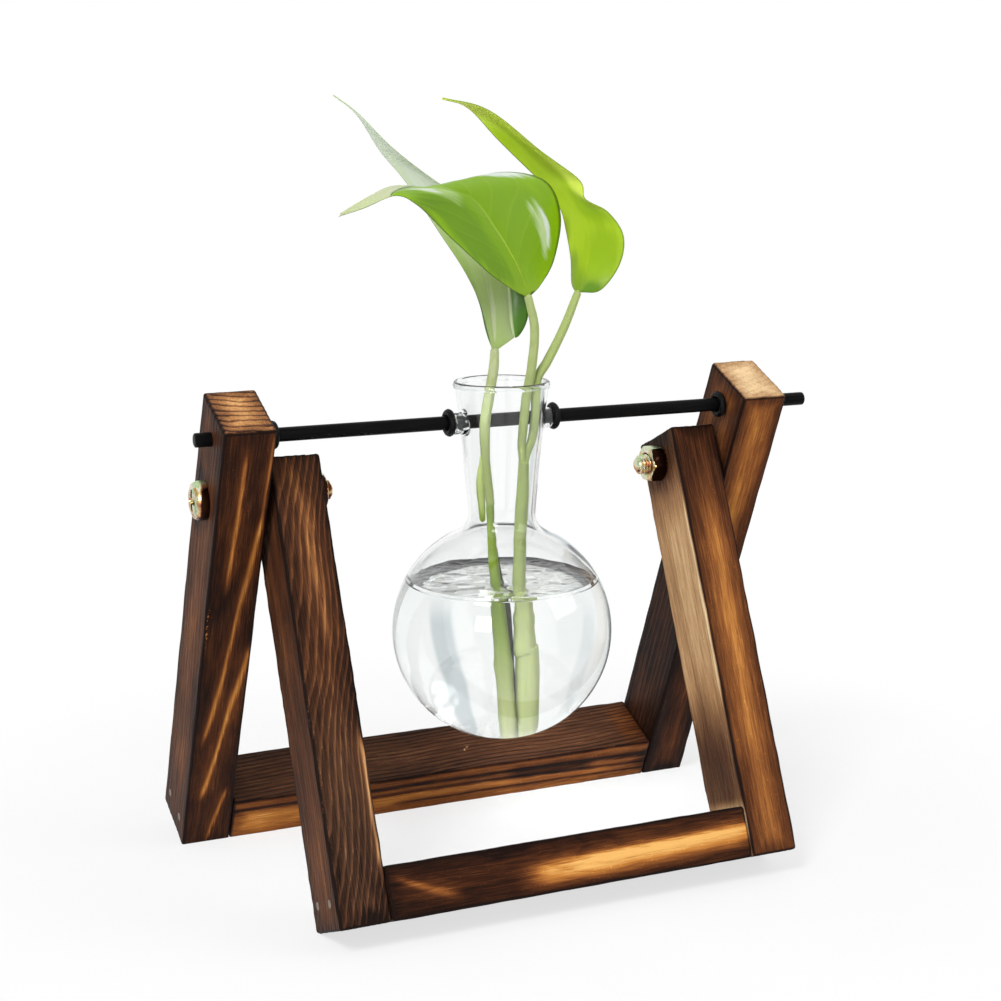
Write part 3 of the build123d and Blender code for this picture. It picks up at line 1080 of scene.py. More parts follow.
def lathe(
    profile: Sequence[tuple[float, float]], segments: int, axis: str = "X"
) -> tuple[np.ndarray, Faces]:
    """Turns a profile about an axis through the origin.

    Args:
        profile: Pairs of a place along the axis and a radius. The last joins the first.
        segments: Steps round the axis.
        axis: "X" or "Z".

    Returns:
        The points and faces of the closed solid.
    """
    angles = np.linspace(0, 2 * math.pi, segments, endpoint=False)
    places = np.array([*profile, profile[0]])
    along = np.repeat(places[:, :1], segments, axis=1)
    first = places[:, 1:] * np.cos(angles)
    second = places[:, 1:] * np.sin(angles)
    order = (along, first, second) if axis == "X" else (first, second, along)
    return np.stack(order, axis=-1).reshape(-1, 3), grid_faces(len(places), segments)


@dataclass
class Pivot:
    """One of the two screws that the frames fold on, with its washer and nut.

    Attributes:
        side: "left" or "right".
        finish: Its plating.
        shank: Radius of the screw's shank.
        head: Height of its head.
        pitch: Distance between two turns of the thread.
        thread_depth: Depth of the thread.
        point: Length of the screw's tapered end.
        recess: Length and width of the cross in the head.
        recess_depth: Depth of the cross.
        flat: Radius of the head's flat middle, as a share of the head's.
        dome: How far the head's rim lies below its middle.
        washer_bore: Radius of the washer's hole.
        roll: Width of the washer's rolled edge.
        nut_bore: Radius of the nut's hole.
        chamfer: Height of the nut's chamfers.
        jam: Height of the left nut, which is thinner, as a share of the CAD nut's.
        stub: How far the screw stands out of the left nut.
        segments: Steps round the screw.
    """

    side: str
    finish: bpy.types.Material
    shank: float = 3.0
    head: float = 3.8
    pitch: float = 1.0
    thread_depth: float = 0.55
    point: float = 0.8
    recess: tuple[float, float] = (6.2, 1.25)
    recess_depth: float = 2.0
    flat: float = 0.62
    dome: float = 0.35
    washer_bore: float = 3.2
    roll: float = 0.3
    nut_bore: float = 3.05
    chamfer: float = 0.75
    jam: float = 0.6
    stub: float = 2.4
    segments: int = 96

    def __post_init__(self) -> None:
        """Works out the stack's direction and sizes from the CAD nodes."""
        left = self.side == "left"
        self.inwards = 1.0 if left else -1.0
        outer = 0 if left else 1
        parts = ("screw", "washer", "nut")
        screw, washer, nut = [corners(f"{self.side}_pivot_{part}") for part in parts]
        self.centre = (screw[0] + screw[1]) / 2
        self.start = screw[outer][0]
        self.washer_start = abs(washer[outer][0] - self.start)
        self.nut_start = abs(nut[outer][0] - self.start)
        self.length, _, head = screw[1] - screw[0]
        self.washer_height, _, washer_width = washer[1] - washer[0]
        self.nut_height, _, flats = nut[1] - nut[0]
        self.head_radius, self.washer_radius, self.flats = head / 2, washer_width / 2, flats / 2
        if left:
            self.nut_height *= self.jam
            self.length = self.nut_start + self.nut_height + self.stub

    def put(self, name: str, points: np.ndarray, faces: Faces) -> None:
        """Sets a part drawn inwards from the head's crown on the pivot's axis.

        Args:
            name: The part, as its CAD node ends.
            points: Its points about the axis.
            faces: Its faces.
        """
        points = points * (self.inwards, 1, 1) + (self.start, self.centre[1], self.centre[2])
        node = f"{self.side}_pivot_{name}"
        piece = make_piece(
            f"{node}_plated", points, faces, self.finish, "rear_frame", "yellow_zinc", node
        )
        piece.data.set_sharp_from_angle(angle=FACET_ANGLE)

    def screw(self) -> None:
        """Makes the pan head with its cross, the shank and the thread."""
        radius, shank = self.head_radius, self.shank
        round_part = 1 - self.flat
        face = [(0.0, radius * share) for share in np.linspace(0, self.flat, 30)]
        crown = [
            (radius * 0.44 * (1 - math.cos(turned)), radius * (self.flat + round_part * math.sin(turned)))
            for turned in np.linspace(0.15, math.pi / 2, 10)
        ]
        seat = [(self.head, radius), (self.head, shank)]
        taper = self.length - self.point
        thread = [(place, shank) for place in np.arange(self.nut_start, taper, self.pitch / 8)]
        tip = self.length - self.point / 4
        end = [(taper, shank * 0.84), (tip, shank * 0.62), (self.length, 0.0)]
        profile = face + crown + seat + thread + end
        points, faces = lathe(profile, self.segments)
        x, y, z = points.T
        arm, wide = np.maximum(abs(y), abs(z)), np.minimum(abs(y), abs(z))
        cross = smooth(wide, self.recess[1] * 0.62, self.recess[1] * 0.38)
        cross *= smooth(arm, self.recess[0] * 0.54, self.recess[0] * 0.44)
        inside = x < 0.5
        dome = self.dome * (np.hypot(y, z) / radius) ** 2
        x += np.where(inside, cross * self.recess_depth * (1 - arm / self.recess[0]) + dome, 0)
        angle = np.arctan2(z, y) / (2 * math.pi)
        part = (x / self.pitch - angle * self.inwards) % 1.0
        cut = 1 - self.thread_depth / shank * abs(2 * part - 1)
        threaded = (x > self.nut_start) & (x < self.length - self.point / 2)
        scale = np.where(threaded, cut, 1.0)
        self.put("screw", np.stack([x, y * scale, z * scale], axis=1), faces)

    def plate(self) -> None:
        """Makes the washer, with the rolled edges of a stamping."""
        start, outer, roll = self.washer_start, self.washer_radius, self.roll
        end = start + self.washer_height
        profile = [
            (start, self.washer_bore), (start, outer - roll),
            (start + roll * 0.3, outer - roll * 0.3), (start + roll, outer),
            (end - roll * 0.3, outer), (end, outer - roll * 0.4), (end, self.washer_bore),
        ]
        self.put("washer", *lathe(profile, self.segments))

    def nut(self) -> None:
        """Makes the hexagon nut with its chamfered corners and a countersunk bore."""
        low, high, bore = self.nut_start, self.nut_start + self.nut_height, self.nut_bore
        steps = (0.0, 0.15, 0.4, self.chamfer)
        levels = [low + step for step in steps] + [high - step for step in steps[::-1]]
        angles = np.linspace(0, 2 * math.pi, self.segments, endpoint=False)
        hexagon = self.flats / np.cos((angles + math.pi / 6) % (math.pi / 3) - math.pi / 6)
        rows = [[(low, bore + 0.5)] * self.segments]
        for level in levels:
            inset = min(level - low, high - level)
            cone = self.flats * 0.96 + inset * 1.6
            rows.append([(level, min(reach, cone)) for reach in hexagon])
        rows += [[(high, bore + 0.5)] * self.segments, [(high - 0.5, bore)] * self.segments]
        rows += [[(low + 0.5, bore)] * self.segments, rows[0]]
        flat = [
            (level, reach * math.sin(angle), reach * math.cos(angle))
            for row in rows for (level, reach), angle in zip(row, angles)
        ]
        self.put("nut", np.array(flat), grid_faces(len(rows), self.segments))

    def build(self) -> None:
        """Makes the three pieces."""
        self.screw()
        self.plate()
        self.nut()


@dataclass
class Hanger:
    """The rod that the flask hangs on, and its rubber rings.

    Attributes:
        paint: The rod's finish.
        rubber: The rings' finish.
        segments: Steps round the rod.
        flash: Height of the moulding line round a ring.
        slid: How far the left post's ring has slid along the rod.
    """

    paint: bpy.types.Material
    rubber: bpy.types.Material
    segments: int = 64
    flash: float = 0.07
    slid: float = 1.3

    def rod(self) -> None:
        """Makes the rod with its burred, rounded ends."""
        low, high = corners("hanging_rod")
        middle, radius = (low + high) / 2, (high - low)[2] / 2
        half = (high - low)[0] / 2
        burr = [(0.0, 0.0), (0.0, 0.6), (0.06, 0.82), (0.25, 0.97), (0.55, 1.0)]
        ends = [(-half + place, radius * share) for place, share in burr]
        stretch = [(place, radius) for place in np.linspace(-half + 2, half - 2, 60)]
        tail = [(-place, reach) for place, reach in ends[::-1]]
        rod, faces = lathe(ends + stretch + tail, self.segments)
        make_piece("painted_rod", rod + middle, faces, self.paint, "rod", "black_rod", "hanging_rod")

    def ring(self, node: str) -> None:
        """Makes one ring with the moulding line round its middle."""
        low, high = corners(node)
        middle, section = (low + high) / 2, (high - low)[0] / 2
        if node == "left_post_ring":
            middle[0] += self.slid
        reach = (high - low)[2] / 2 - section
        profile = []
        for angle in np.linspace(0, 2 * math.pi, 40, endpoint=False):
            lift = self.flash * math.exp(-((math.sin(angle) / 0.12) ** 2))
            lift = lift if math.cos(angle) < 0 else 0.0
            swell = section - self.flash + lift
            profile.append((math.sin(angle) * section, reach - math.cos(angle) * swell))
        ring, faces = lathe(profile, self.segments)
        make_piece(f"{node}_moulded", ring + middle, faces, self.rubber, "rod", "black_rubber", node)

    def build(self) -> None:
        """Makes the rod and its four rings."""
        self.rod()
        for node in ("left_post_ring", "left_neck_ring", "right_neck_ring", "right_post_ring"):
            self.ring(node)


@dataclass
class Flask:
    """The blown glass flask and the water in it.

    Attributes:
        wall: Thickness of the glass.
        throat: Outer radius of the neck's narrowest place.
        throat_drop: How far that place lies below the rod.
        shoulder: Radius of the bend between the bulb and the neck.
        mouth: Outer radius of the rim.
        bead: Half the height of the rim's bead.
        lip: Half its width.
        collar: Outer radius of a hang hole's collar near the neck.
        collar_steps: Its outline: steps out from the neck, and steps of its radius.
        hung: Where the rod crosses the neck, as a share of its widening.
        roll: Radius of the collar's rolled lip.
        hole: Radius of a hang hole.
        hang: How far the holes' middle lies below the rod's.
        level: Height of the water above the bulb's middle.
        meniscus: How far the water climbs at the glass.
        soak: How far the water lies in the glass, so that no gap shows.
        segments: Steps round the flask.
    """

    wall: float = 1.1
    throat: float = 9.9
    throat_drop: float = 26.6
    shoulder: float = 6.0
    mouth: float = 13.9
    bead: float = 1.1
    lip: float = 0.75
    collar: float = 4.15
    collar_steps: tuple[tuple[float, float], ...] = ((-1.2, 0.2), (-0.4, -0.5), (0.2, -0.9), (0.8, -1.1))
    hung: float = 0.66
    roll: float = 0.3
    hole: float = 2.5
    hang: float = 0.4
    level: float = 15.2
    meniscus: float = 1.1
    soak: float = 0.04
    segments: int = 144

    def __post_init__(self) -> None:
        """Takes the flask's place from the CAD nodes."""
        low, high = corners("glass_flask")
        self.rod = sum(corners("hanging_rod")) / 2
        self.bulb = (high - low)[1] / 2
        self.axis = np.array([(low + high)[0] / 2, self.rod[1], 0.0])
        self.base = low[2] + self.bulb
        self.rim = high[2] - self.bead
        points = node_points("glass_flask")
        near = points[abs(points[:, 2] - self.rod[2]) < 4]
        self.span = (near[:, 0].max() - near[:, 0].min()) / 2

    def side(self, inset: float) -> list[tuple[float, float]]:
        """The flask's outline from its lowest point up to the rim.

        Args:
            inset: How far inside the outer skin it lies.

        Returns:
            Pairs of a height and a radius.
        """
        bulb, throat = self.bulb - inset, self.throat - inset
        bend = self.shoulder + inset
        rise = math.sqrt((bulb + bend) ** 2 - (throat + bend) ** 2)
        turned = math.atan2(throat + bend, rise)
        line = [
            (self.base - bulb * math.cos(angle), bulb * math.sin(angle))
            for angle in np.linspace(0, math.pi - turned, 90)
        ]
        line += [
            (self.base + rise - bend * math.sin(angle), throat + bend - bend * math.cos(angle))
            for angle in np.linspace(math.pi / 2 - turned, 0, 16)
        ]
        low = self.rod[2] - self.throat_drop
        line += [
            (low + (self.rim - low) * share,
             throat + (self.mouth - self.throat) * (0.8 * share + 0.2 * share**5))
            for share in np.linspace(0.04, 1, 36)
        ]
        return line

    def glass(self) -> None:
        """Blows the flask, with the rim's bead and the two collared holes."""
        middle = self.mouth - self.wall / 2
        lip = [
            (self.rim + self.bead * math.sin(angle), middle + self.lip * math.cos(angle))
            for angle in np.linspace(-0.6, math.pi + 0.6, 26)
        ]
        outline = self.side(0.0) + lip + self.side(self.wall)[::-1]
        shell, faces = lathe(outline, self.segments, "Z")
        finish = Clear("clear_glass", bend=1.47, tint=(0.985, 0.995, 0.99, 1.0), wave=0.5).dress()
        flask = make_piece(
            "blown_flask", shell + self.axis, faces, finish, "flask", "clear_glass", "glass_flask"
        )
        self.collars(flask)
        flask.data.shade_smooth()
        flask.data.set_sharp_from_angle(angle=SHARP_ANGLE)

    def collars(self, flask: bpy.types.Object) -> None:
        """Fuses a collar to each side of the neck and opens the hole through it."""
        neck = self.throat + (self.mouth - self.throat) * self.hung
        flare = [(neck + out, self.collar + step) for out, step in self.collar_steps]
        lip, root = self.span - self.roll, flare[0][0]
        flare += [
            (lip + self.roll * math.sin(angle), self.collar - 1.35 + self.roll * math.cos(angle))
            for angle in np.linspace(0.2, math.pi - 0.2, 9)
        ]
        flare += [(lip, self.hole), (root, self.hole)]
        start, end = neck - 3.5, self.span + 1
        drill = [(start, 0.0), (start, self.hole), (end, self.hole), (end, 0.0)]
        for sign in (-1, 1):
            self.cut(flask, flare, sign, "UNION")
            self.cut(flask, drill, sign, "DIFFERENCE")

    def cut(self, flask: bpy.types.Object, profile: list, sign: int, way: str) -> None:
        """Joins a turned shape to the flask at the rod's height or takes it away.

        Args:
            flask: The flask.
            profile: The shape's outline about X.
            sign: 1 for the right side, -1 for the left.
            way: The Boolean's operation.
        """
        points, faces = lathe(profile, self.segments // 2)
        centre = self.axis + (0, 0, self.rod[2] - self.hang)
        mesh = new_mesh("tool", points * (sign, 1, 1) + centre, faces)
        seal(mesh)
        tool = show("tool", mesh)
        change = flask.modifiers.new("cut", "BOOLEAN")
        change.operation = way
        change.solver = "EXACT"
        change.object = tool
        bpy.context.view_layer.objects.active = flask
        bpy.ops.object.modifier_apply(modifier=change.name)
        bpy.data.objects.remove(tool)

    def water(self, stems: Sequence[tuple[float, float, float]]) -> None:
        """Pours the water, which climbs a little at the glass and at the stems.

        Args:
            stems: Place and radius of each stem at the water's level.
        """
        ball = self.bulb - self.wall + self.soak
        top = self.base + self.level
        end = math.acos(-self.level / ball)
        line = [
            (self.base - ball * math.cos(angle), ball * math.sin(angle))
            for angle in np.linspace(0, end, 90)
        ]
        edge = line[-1][1]
        line += [(top, edge * share) for share in (1 - np.linspace(0.004, 1, 70) ** 1.6)]
        points, faces = lathe(line, self.segments, "Z")
        flat = points[:, 2] > top - 0.01
        away = edge - np.hypot(points[:, 0], points[:, 1])
        climb = self.meniscus * np.exp(-away / 0.9)
        for x, y, radius in stems:
            gap = np.hypot(points[:, 0] - x + self.axis[0], points[:, 1] - y + self.axis[1]) - radius
            climb += self.meniscus * 0.5 * np.exp(-gap.clip(min=0) / 0.8)
        points[:, 2] += np.where(flat, climb, 0)
        reach = np.hypot(points[:, 0], points[:, 1])
        room = np.sqrt(np.clip(ball**2 - (points[:, 2] - self.base) ** 2, 0, None))
        tight = np.where(flat & (reach > room), room / np.maximum(reach, 1e-6), 1.0)
        points[:, :2] *= tight[:, None]
        tint = (0.985, 0.995, 0.995, 1.0)
        finish = Clear("clear_water", 1.333, tint, wave=2.4, swirl=0.15, still=top).dress()
        make_piece("still_water", points + self.axis, faces, finish, "flask", "water", "water")


@dataclass
class Stalk:
    """A stem, a leaf stalk, a sheath or a root, along the line of its CAD node.

    Attributes:
        node: The CAD node.
        finish: Its skin.
        slot: The record's material slot.
        ridges: Number of fine ridges round it.
        ridge: Height of the ridges as a share of the radius.
        knots: Swellings, as a share of the height, a share of the radius and a reach.
        sides: Steps round it.
        flatten: How far it is pressed flat.
        domes: Whether its foot and its top close in a dome.
        run_on: How far its foot and its top run on into their neighbours.
        grows_from: The stalk that its foot grows out of.
        grows_into: The stalk that its top grows into.
        pull: How far it is drawn to those, as a share.
        uneven: Height of its unevenness.
    """

    node: str
    finish: StemSkin
    slot: str = "stem_green"
    ridges: int = 5
    ridge: float = 0.05
    knots: tuple[tuple[float, float, float], ...] = ()
    sides: int = 30
    flatten: float = 0.0
    domes: tuple[bool, bool] = (True, True)
    run_on: tuple[float, float] = (0.0, 0.0)
    grows_from: Optional["Stalk"] = None
    grows_into: Optional["Stalk"] = None
    pull: float = 0.6
    uneven: float = 0.06

    def __post_init__(self) -> None:
        """Reads the levels of the CAD node: each one's middle and radius."""
        points = node_points(self.node)
        heights = np.unique(points[:, 2].round(2))
        levels = []
        for height in heights:
            ring = points[abs(points[:, 2] - height) < 0.02]
            if len(ring) > 8:
                middle = (ring.min(0) + ring.max(0)) / 2
                levels.append((*middle[:2], height, (ring.max(0) - ring.min(0))[0] / 2))
        self.levels = np.array(levels)

    def at(self, height: float) -> tuple[float, float, float]:
        """Place and radius of the stalk at a height."""
        heights = self.levels[:, 2]
        x, y, radius = [np.interp(height, heights, self.levels[:, i]) for i in (0, 1, 3)]
        return float(x), float(y), float(radius)

    def build(self) -> None:
        """Makes the stalk."""
        line = spline(self.levels, 12)
        foot, top = line[0] - line[1], line[-1] - line[-2]
        if self.run_on[0]:
            line = np.vstack([line[0] + foot / np.linalg.norm(foot[:3]) * self.run_on[0], line])
        if self.run_on[1]:
            line = np.vstack([line, line[-1] + top / np.linalg.norm(top[:3]) * self.run_on[1]])
        middles, radii = line[:, :3], line[:, 3].clip(min=0.15)
        share = np.linspace(0, 1, len(line))
        low, high = middles[0][2], middles[-1][2]
        ends = ((self.grows_from, smooth(share, 0.2, 0.0)), (self.grows_into, smooth(share, 0.35, 1.0)))
        for other, weight in ends:
            if other:
                goal = np.array([other.at(height) for height in middles[:, 2]])
                middles[:, :2] += (goal[:, :2] - middles[:, :2]) * weight[:, None] * self.pull
        for place, swell, reach in self.knots:
            height = low + (high - low) * place
            radii = radii * (1 + swell * np.exp(-(((middles[:, 2] - height) / reach) ** 2)))
        reaches = (middles[:, 2] - low, high - middles[:, 2])
        for domed, reach in zip(self.domes, reaches):
            if domed:
                part = np.clip(reach / radii, 0, 1)
                radii = radii * np.sqrt(1 - (1 - part) ** 2).clip(min=0.08)
        along = np.gradient(middles, axis=0)
        along /= np.linalg.norm(along, axis=1)[:, None]
        right = np.cross((0, 1, 0), along)
        right /= np.linalg.norm(right, axis=1)[:, None]
        up = np.cross(along, right)
        angles = np.linspace(0, 2 * math.pi, self.sides, endpoint=False)
        rows = []
        for middle, radius, one, two, part in zip(middles, radii, right, up, share):
            ribs = 1 + self.ridge * np.cos(self.ridges * angles + 2.5 * part)
            first = np.cos(angles) * ribs * radius
            second = np.sin(angles) * ribs * radius * (1 - self.flatten)
            rows.append(middle + first[:, None] * one + second[:, None] * two)
        points = np.concatenate(rows)
        points += self.uneven * ripple(points, 5.0, len(self.node))[:, None] * (1, 1, 0)
        faces = grid_faces(len(rows), self.sides)
        last = len(points) - self.sides
        faces.append(tuple(range(self.sides)))
        faces.append(tuple(range(last, last + self.sides)))
        skin = self.finish.dress(self.node)
        make_piece(f"{self.node}_skin", points, faces, skin, "cuttings", self.slot, self.node)


Row = tuple[tuple[float, float, float], ...]


@dataclass(frozen=True)
class Fold:
    """A stretch of a leaf's right edge that folds over towards the viewer.

    Attributes:
        start: Where it starts along the leaf, from 0 to 1.
        end: Where it ends.
        width: Its greatest width.
        bend: Radius of the fold.
        skin: The finish of the side that it shows.
        arch: How far the flap arches towards the viewer.
        steps: Steps round the bend, and across the flap.
    """

    start: float
    end: float
    width: float
    bend: float
    skin: LeafSkin
    arch: float = 0.5
    steps: tuple[int, int] = (12, 14)


@dataclass
class Leaf:
    """A leaf blade, through its left edge, midrib and right edge at each station.

    Attributes:
        node: The CAD node.
        stalk: The stalk that carries it.
        slot: The record's material slot; not used.
        near: The finish of the side that the stations are seen from.
        far: The finish of its other side.
        length: The leaf's length.
        stations: Rows of (left edge, midrib, right edge), as shares of the length.
        folds: The stretches of its edge that fold over.
        thick: The blade's thickness.
        vein: Depth of the midrib's groove.
        crest: Height of the swelling between two veins.
        wave: Height of the waves along its edge.
        waves: Their turns along the leaf, in radians.
        columns: Steps across the blade.
        narrow: Width under which the blade keeps the tilt of its next wider place.
        roomy: Width from which its relief has its full height.
    """

    node: str
    stalk: Stalk
    slot: str
    near: LeafSkin
    far: LeafSkin
    length: float
    stations: tuple[Row, ...]
    folds: tuple[Fold, ...] = ()
    thick: float = 0.45
    vein: float = 0.3
    crest: float = 0.14
    wave: float = 0.35
    waves: float = 21.0
    columns: int = 48
    narrow: float = 2.0
    roomy: float = 40.0

    def edges(self) -> tuple[np.ndarray, np.ndarray, np.ndarray]:
        """The smooth lines of the left edge, the midrib and the right edge, in millimetres."""
        top = self.stalk.levels[-1]
        rows = spline(np.array(self.stations).reshape(len(self.stations), 9), 9).reshape(-1, 3, 3)
        return tuple(top[:3] + rows[:, i] * self.length for i in range(3))

    def build(self) -> None:
        """Makes the blade with its veins, its two skins and its rim, and its folds."""
        left, rib, right = self.edges()
        over = np.linspace(-1, 1, self.columns + 1)
        shares = np.linspace(0, 1, len(rib))
        sheet = np.array([
            [r + v * (b - a) / 2 + v * v * ((a + b) / 2 - r) for v in over]
            for a, r, b in zip(left, rib, right)
        ])
        widths = np.linalg.norm(right - left, axis=1)
        away = self.away(sheet, widths)
        v, u = np.meshgrid(over, shares)
        between = np.sin(math.pi * ((u * VEINS - abs(v) * VEIN_CLIMB) % 1.0))
        room = (np.minimum(1, widths / self.roomy) ** 2)[:, None]
        lift = self.crest * between * (1 - v**4) * room + self.vein * np.exp(-((v / 0.06) ** 2)) * room
        lift += self.wave * np.sin(u * self.waves + v) * v**4 * room
        sheet = sheet + away * lift[:, :, None]
        halves = np.zeros_like(v) + widths[:, None] / 2
        self.plate(self.node, sheet, away, (v, u, halves), (self.far, self.near))
        for number, fold in enumerate(self.folds):
            self.turn_over(number, fold, sheet, away)

    def away(self, sheet: np.ndarray, widths: np.ndarray) -> np.ndarray:
        """The directions square to a sheet, on the side away from the viewer.

        Args:
            sheet: Rows of points.
            widths: How wide the blade is at each row.

        Returns:
            A direction for each point.
        """
        square = np.cross(np.gradient(sheet, axis=0), np.gradient(sheet, axis=1))
        square /= np.linalg.norm(square, axis=2)[:, :, None].clip(min=1e-9)
        wide = np.flatnonzero(widths > self.narrow)
        return square[np.clip(np.arange(len(sheet)), wide[0], wide[-1])]

    def turn_over(self, number: int, fold: Fold, sheet: np.ndarray, away: np.ndarray) -> None:
        """Folds a stretch of the right edge over the blade.

        Args:
            number: The fold's number on this leaf.
            fold: The fold.
            sheet: The blade's points.
            away: The directions square to the blade.
        """
        count = len(sheet)
        rows = range(round(fold.start * (count - 1)), round(fold.end * (count - 1)) + 1)
        flap = []
        for row in rows:
            share = (row - rows[0]) / (len(rows) - 1)
            rim, inwards = sheet[row][-1], sheet[row][-8] - sheet[row][-1]
            inwards = inwards / np.linalg.norm(inwards)
            towards = -away[row][-1]
            wide = fold.width * max(0.02, math.sin(math.pi * share)) ** 0.7
            turned = [
                rim - inwards * fold.bend * math.sin(angle) + towards * fold.bend * (1 - math.cos(angle))
                for angle in np.linspace(0, math.pi, fold.steps[0])
            ]
            flap.append(turned + [
                turned[-1] + inwards * wide * step + towards * fold.arch * math.sin(step * 2.5)
                for step in np.linspace(0.08, 1, fold.steps[1])
            ])
        flap = np.array(flap)
        facing = self.away(flap, np.full(len(flap), 9.0))
        v, u = np.meshgrid(np.linspace(0, 1, flap.shape[1]), np.linspace(0.3, 0.5, flap.shape[0]))
        spread = (v, u, np.full_like(v, fold.width))
        self.plate(f"{self.node}_fold_{number + 1}", flap, facing, spread, (fold.skin, self.near))

    def plate(
        self,
        name: str,
        sheet: np.ndarray,
        away: np.ndarray,
        spread: tuple[np.ndarray, np.ndarray, np.ndarray],
        skins: tuple[LeafSkin, LeafSkin],
    ) -> None:
        """Gives a sheet its thickness and its two skins, and joins it to the cuttings.

        Args:
            name: What the piece is named after.
            sheet: Rows of points.
            away: The direction square to the sheet at each point.
            spread: Each point's shares across and along the blade, and half the blade's width there.
            skins: The skin on the side that away looks to, and the other.
        """
        v, u, halves = spread
        rows, columns = v.shape
        count = rows * columns
        thin = (self.thick * (0.3 + 0.7 * (1 - abs(v) ** 6)))[:, :, None]
        points = np.concatenate([
            (sheet + away * thin / 2).reshape(-1, 3), (sheet - away * thin / 2).reshape(-1, 3),
        ])
        rear = [tuple(count + i for i in ring) for ring in grid_faces(rows, columns, loop=False)]
        front = [tuple(i - count for i in reversed(ring)) for ring in rear]
        rim = list(range(columns))
        rim += [r * columns + columns - 1 for r in range(1, rows)]
        rim += [count - 1 - c for c in range(1, columns)]
        rim += [r * columns for r in range(rows - 2, 0, -1)]
        edge = [(a, b, b + count, a + count) for a, b in zip(rim, rim[1:] + rim[:1])]
        mesh = new_mesh(f"{name}_blade", points, front + rear + edge)
        blade = mesh.attributes.new("blade", "FLOAT_VECTOR", "POINT")
        places = np.stack([v.ravel(), u.ravel(), halves.ravel()], axis=1)
        blade.data.foreach_set("vector", np.concatenate([places, places]).astype(np.float32).ravel())
        for skin in skins:
            mesh.materials.append(bpy.data.materials.get(skin.name) or skin.dress())
        mesh.polygons.foreach_set("material_index", [0] * len(front) + [1] * (len(rear) + len(edge)))
        mesh.shade_smooth()
        leaf = show(mesh.name, mesh)
        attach(leaf, "cuttings")
        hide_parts(self.node)
        log.info("%s: %d faces on cuttings", leaf.name, len(mesh.polygons))


# Each row of a blade is its left edge, midrib and right edge. All start from their stalk alike
LEAF_FOOT = ((-0.01, 0.0, 0.0), (0.0, 0.0, 0.0), (0.01, 0.0, 0.0))
LEAF_LINE = shade(74, 104, 18)
# The near-white of the painted highlights on the glossy leaf
PAINTED_GLEAM = shade(214, 222, 214)
# The long pale leaf, seen from below, with a fold in its right edge
LEFT_UNDER = LeafSkin(
    "left_leaf_under",
    blade=shade(170, 190, 130), light=shade(186, 202, 154), vein=shade(200, 212, 174),
    base=shade(158, 182, 102), edge=shade(124, 150, 80), tip=shade(204, 216, 194),
    gloss=0.45, ribs=0.25, rib=0.012, tip_from=(0.5, 0.78),
    patches=(
        Patch((-0.8, 0.3), (0.4, 0.3), shade(160, 186, 106), fray=0.8),
        Patch((0.2, 0.6), (1.4, 0.12), shade(198, 210, 188), fray=0.6),
        Patch((0.1, 0.28), (0.9, 0.22), shade(166, 190, 110)),
        Patch((0.1, 0.2), (0.12, 0.14), shade(190, 204, 150), 0.5, 0.6),
    ),
)
LEFT_UPPER = LeafSkin(
    "left_leaf_upper",
    blade=shade(66, 112, 14), light=shade(76, 122, 18), vein=shade(110, 150, 50),
    base=shade(60, 104, 14), edge=shade(186, 204, 150), tip=shade(100, 140, 40),
    patches=(Patch((1.0, 0.4), (0.16, 1.0), shade(186, 204, 150), fray=0.2),),
)
LEFT_BLADE = (
    LEAF_FOOT,
    ((-0.02, 0.03, 0.09), (0.0, 0.01, 0.04), (0.08, -0.02, 0.06)),
    ((-0.03, 0.06, 0.16), (0.0, 0.04, 0.15), (0.1, -0.03, 0.16)),
    ((-0.07, 0.11, 0.27), (-0.01, 0.09, 0.28), (0.07, 0.02, 0.3)),
    ((-0.14, 0.15, 0.39), (-0.08, 0.13, 0.42), (0.0, 0.07, 0.45)),
    ((-0.23, 0.21, 0.55), (-0.2, 0.18, 0.57), (-0.15, 0.13, 0.55)),
    ((-0.3, 0.26, 0.65), (-0.29, 0.23, 0.66), (-0.28, 0.19, 0.66)),
    ((-0.373, 0.283, 0.77), (-0.371, 0.276, 0.77), (-0.369, 0.27, 0.77)),
    ((-0.446, 0.3, 0.83), (-0.445, 0.3, 0.83), (-0.444, 0.3, 0.83)),
)
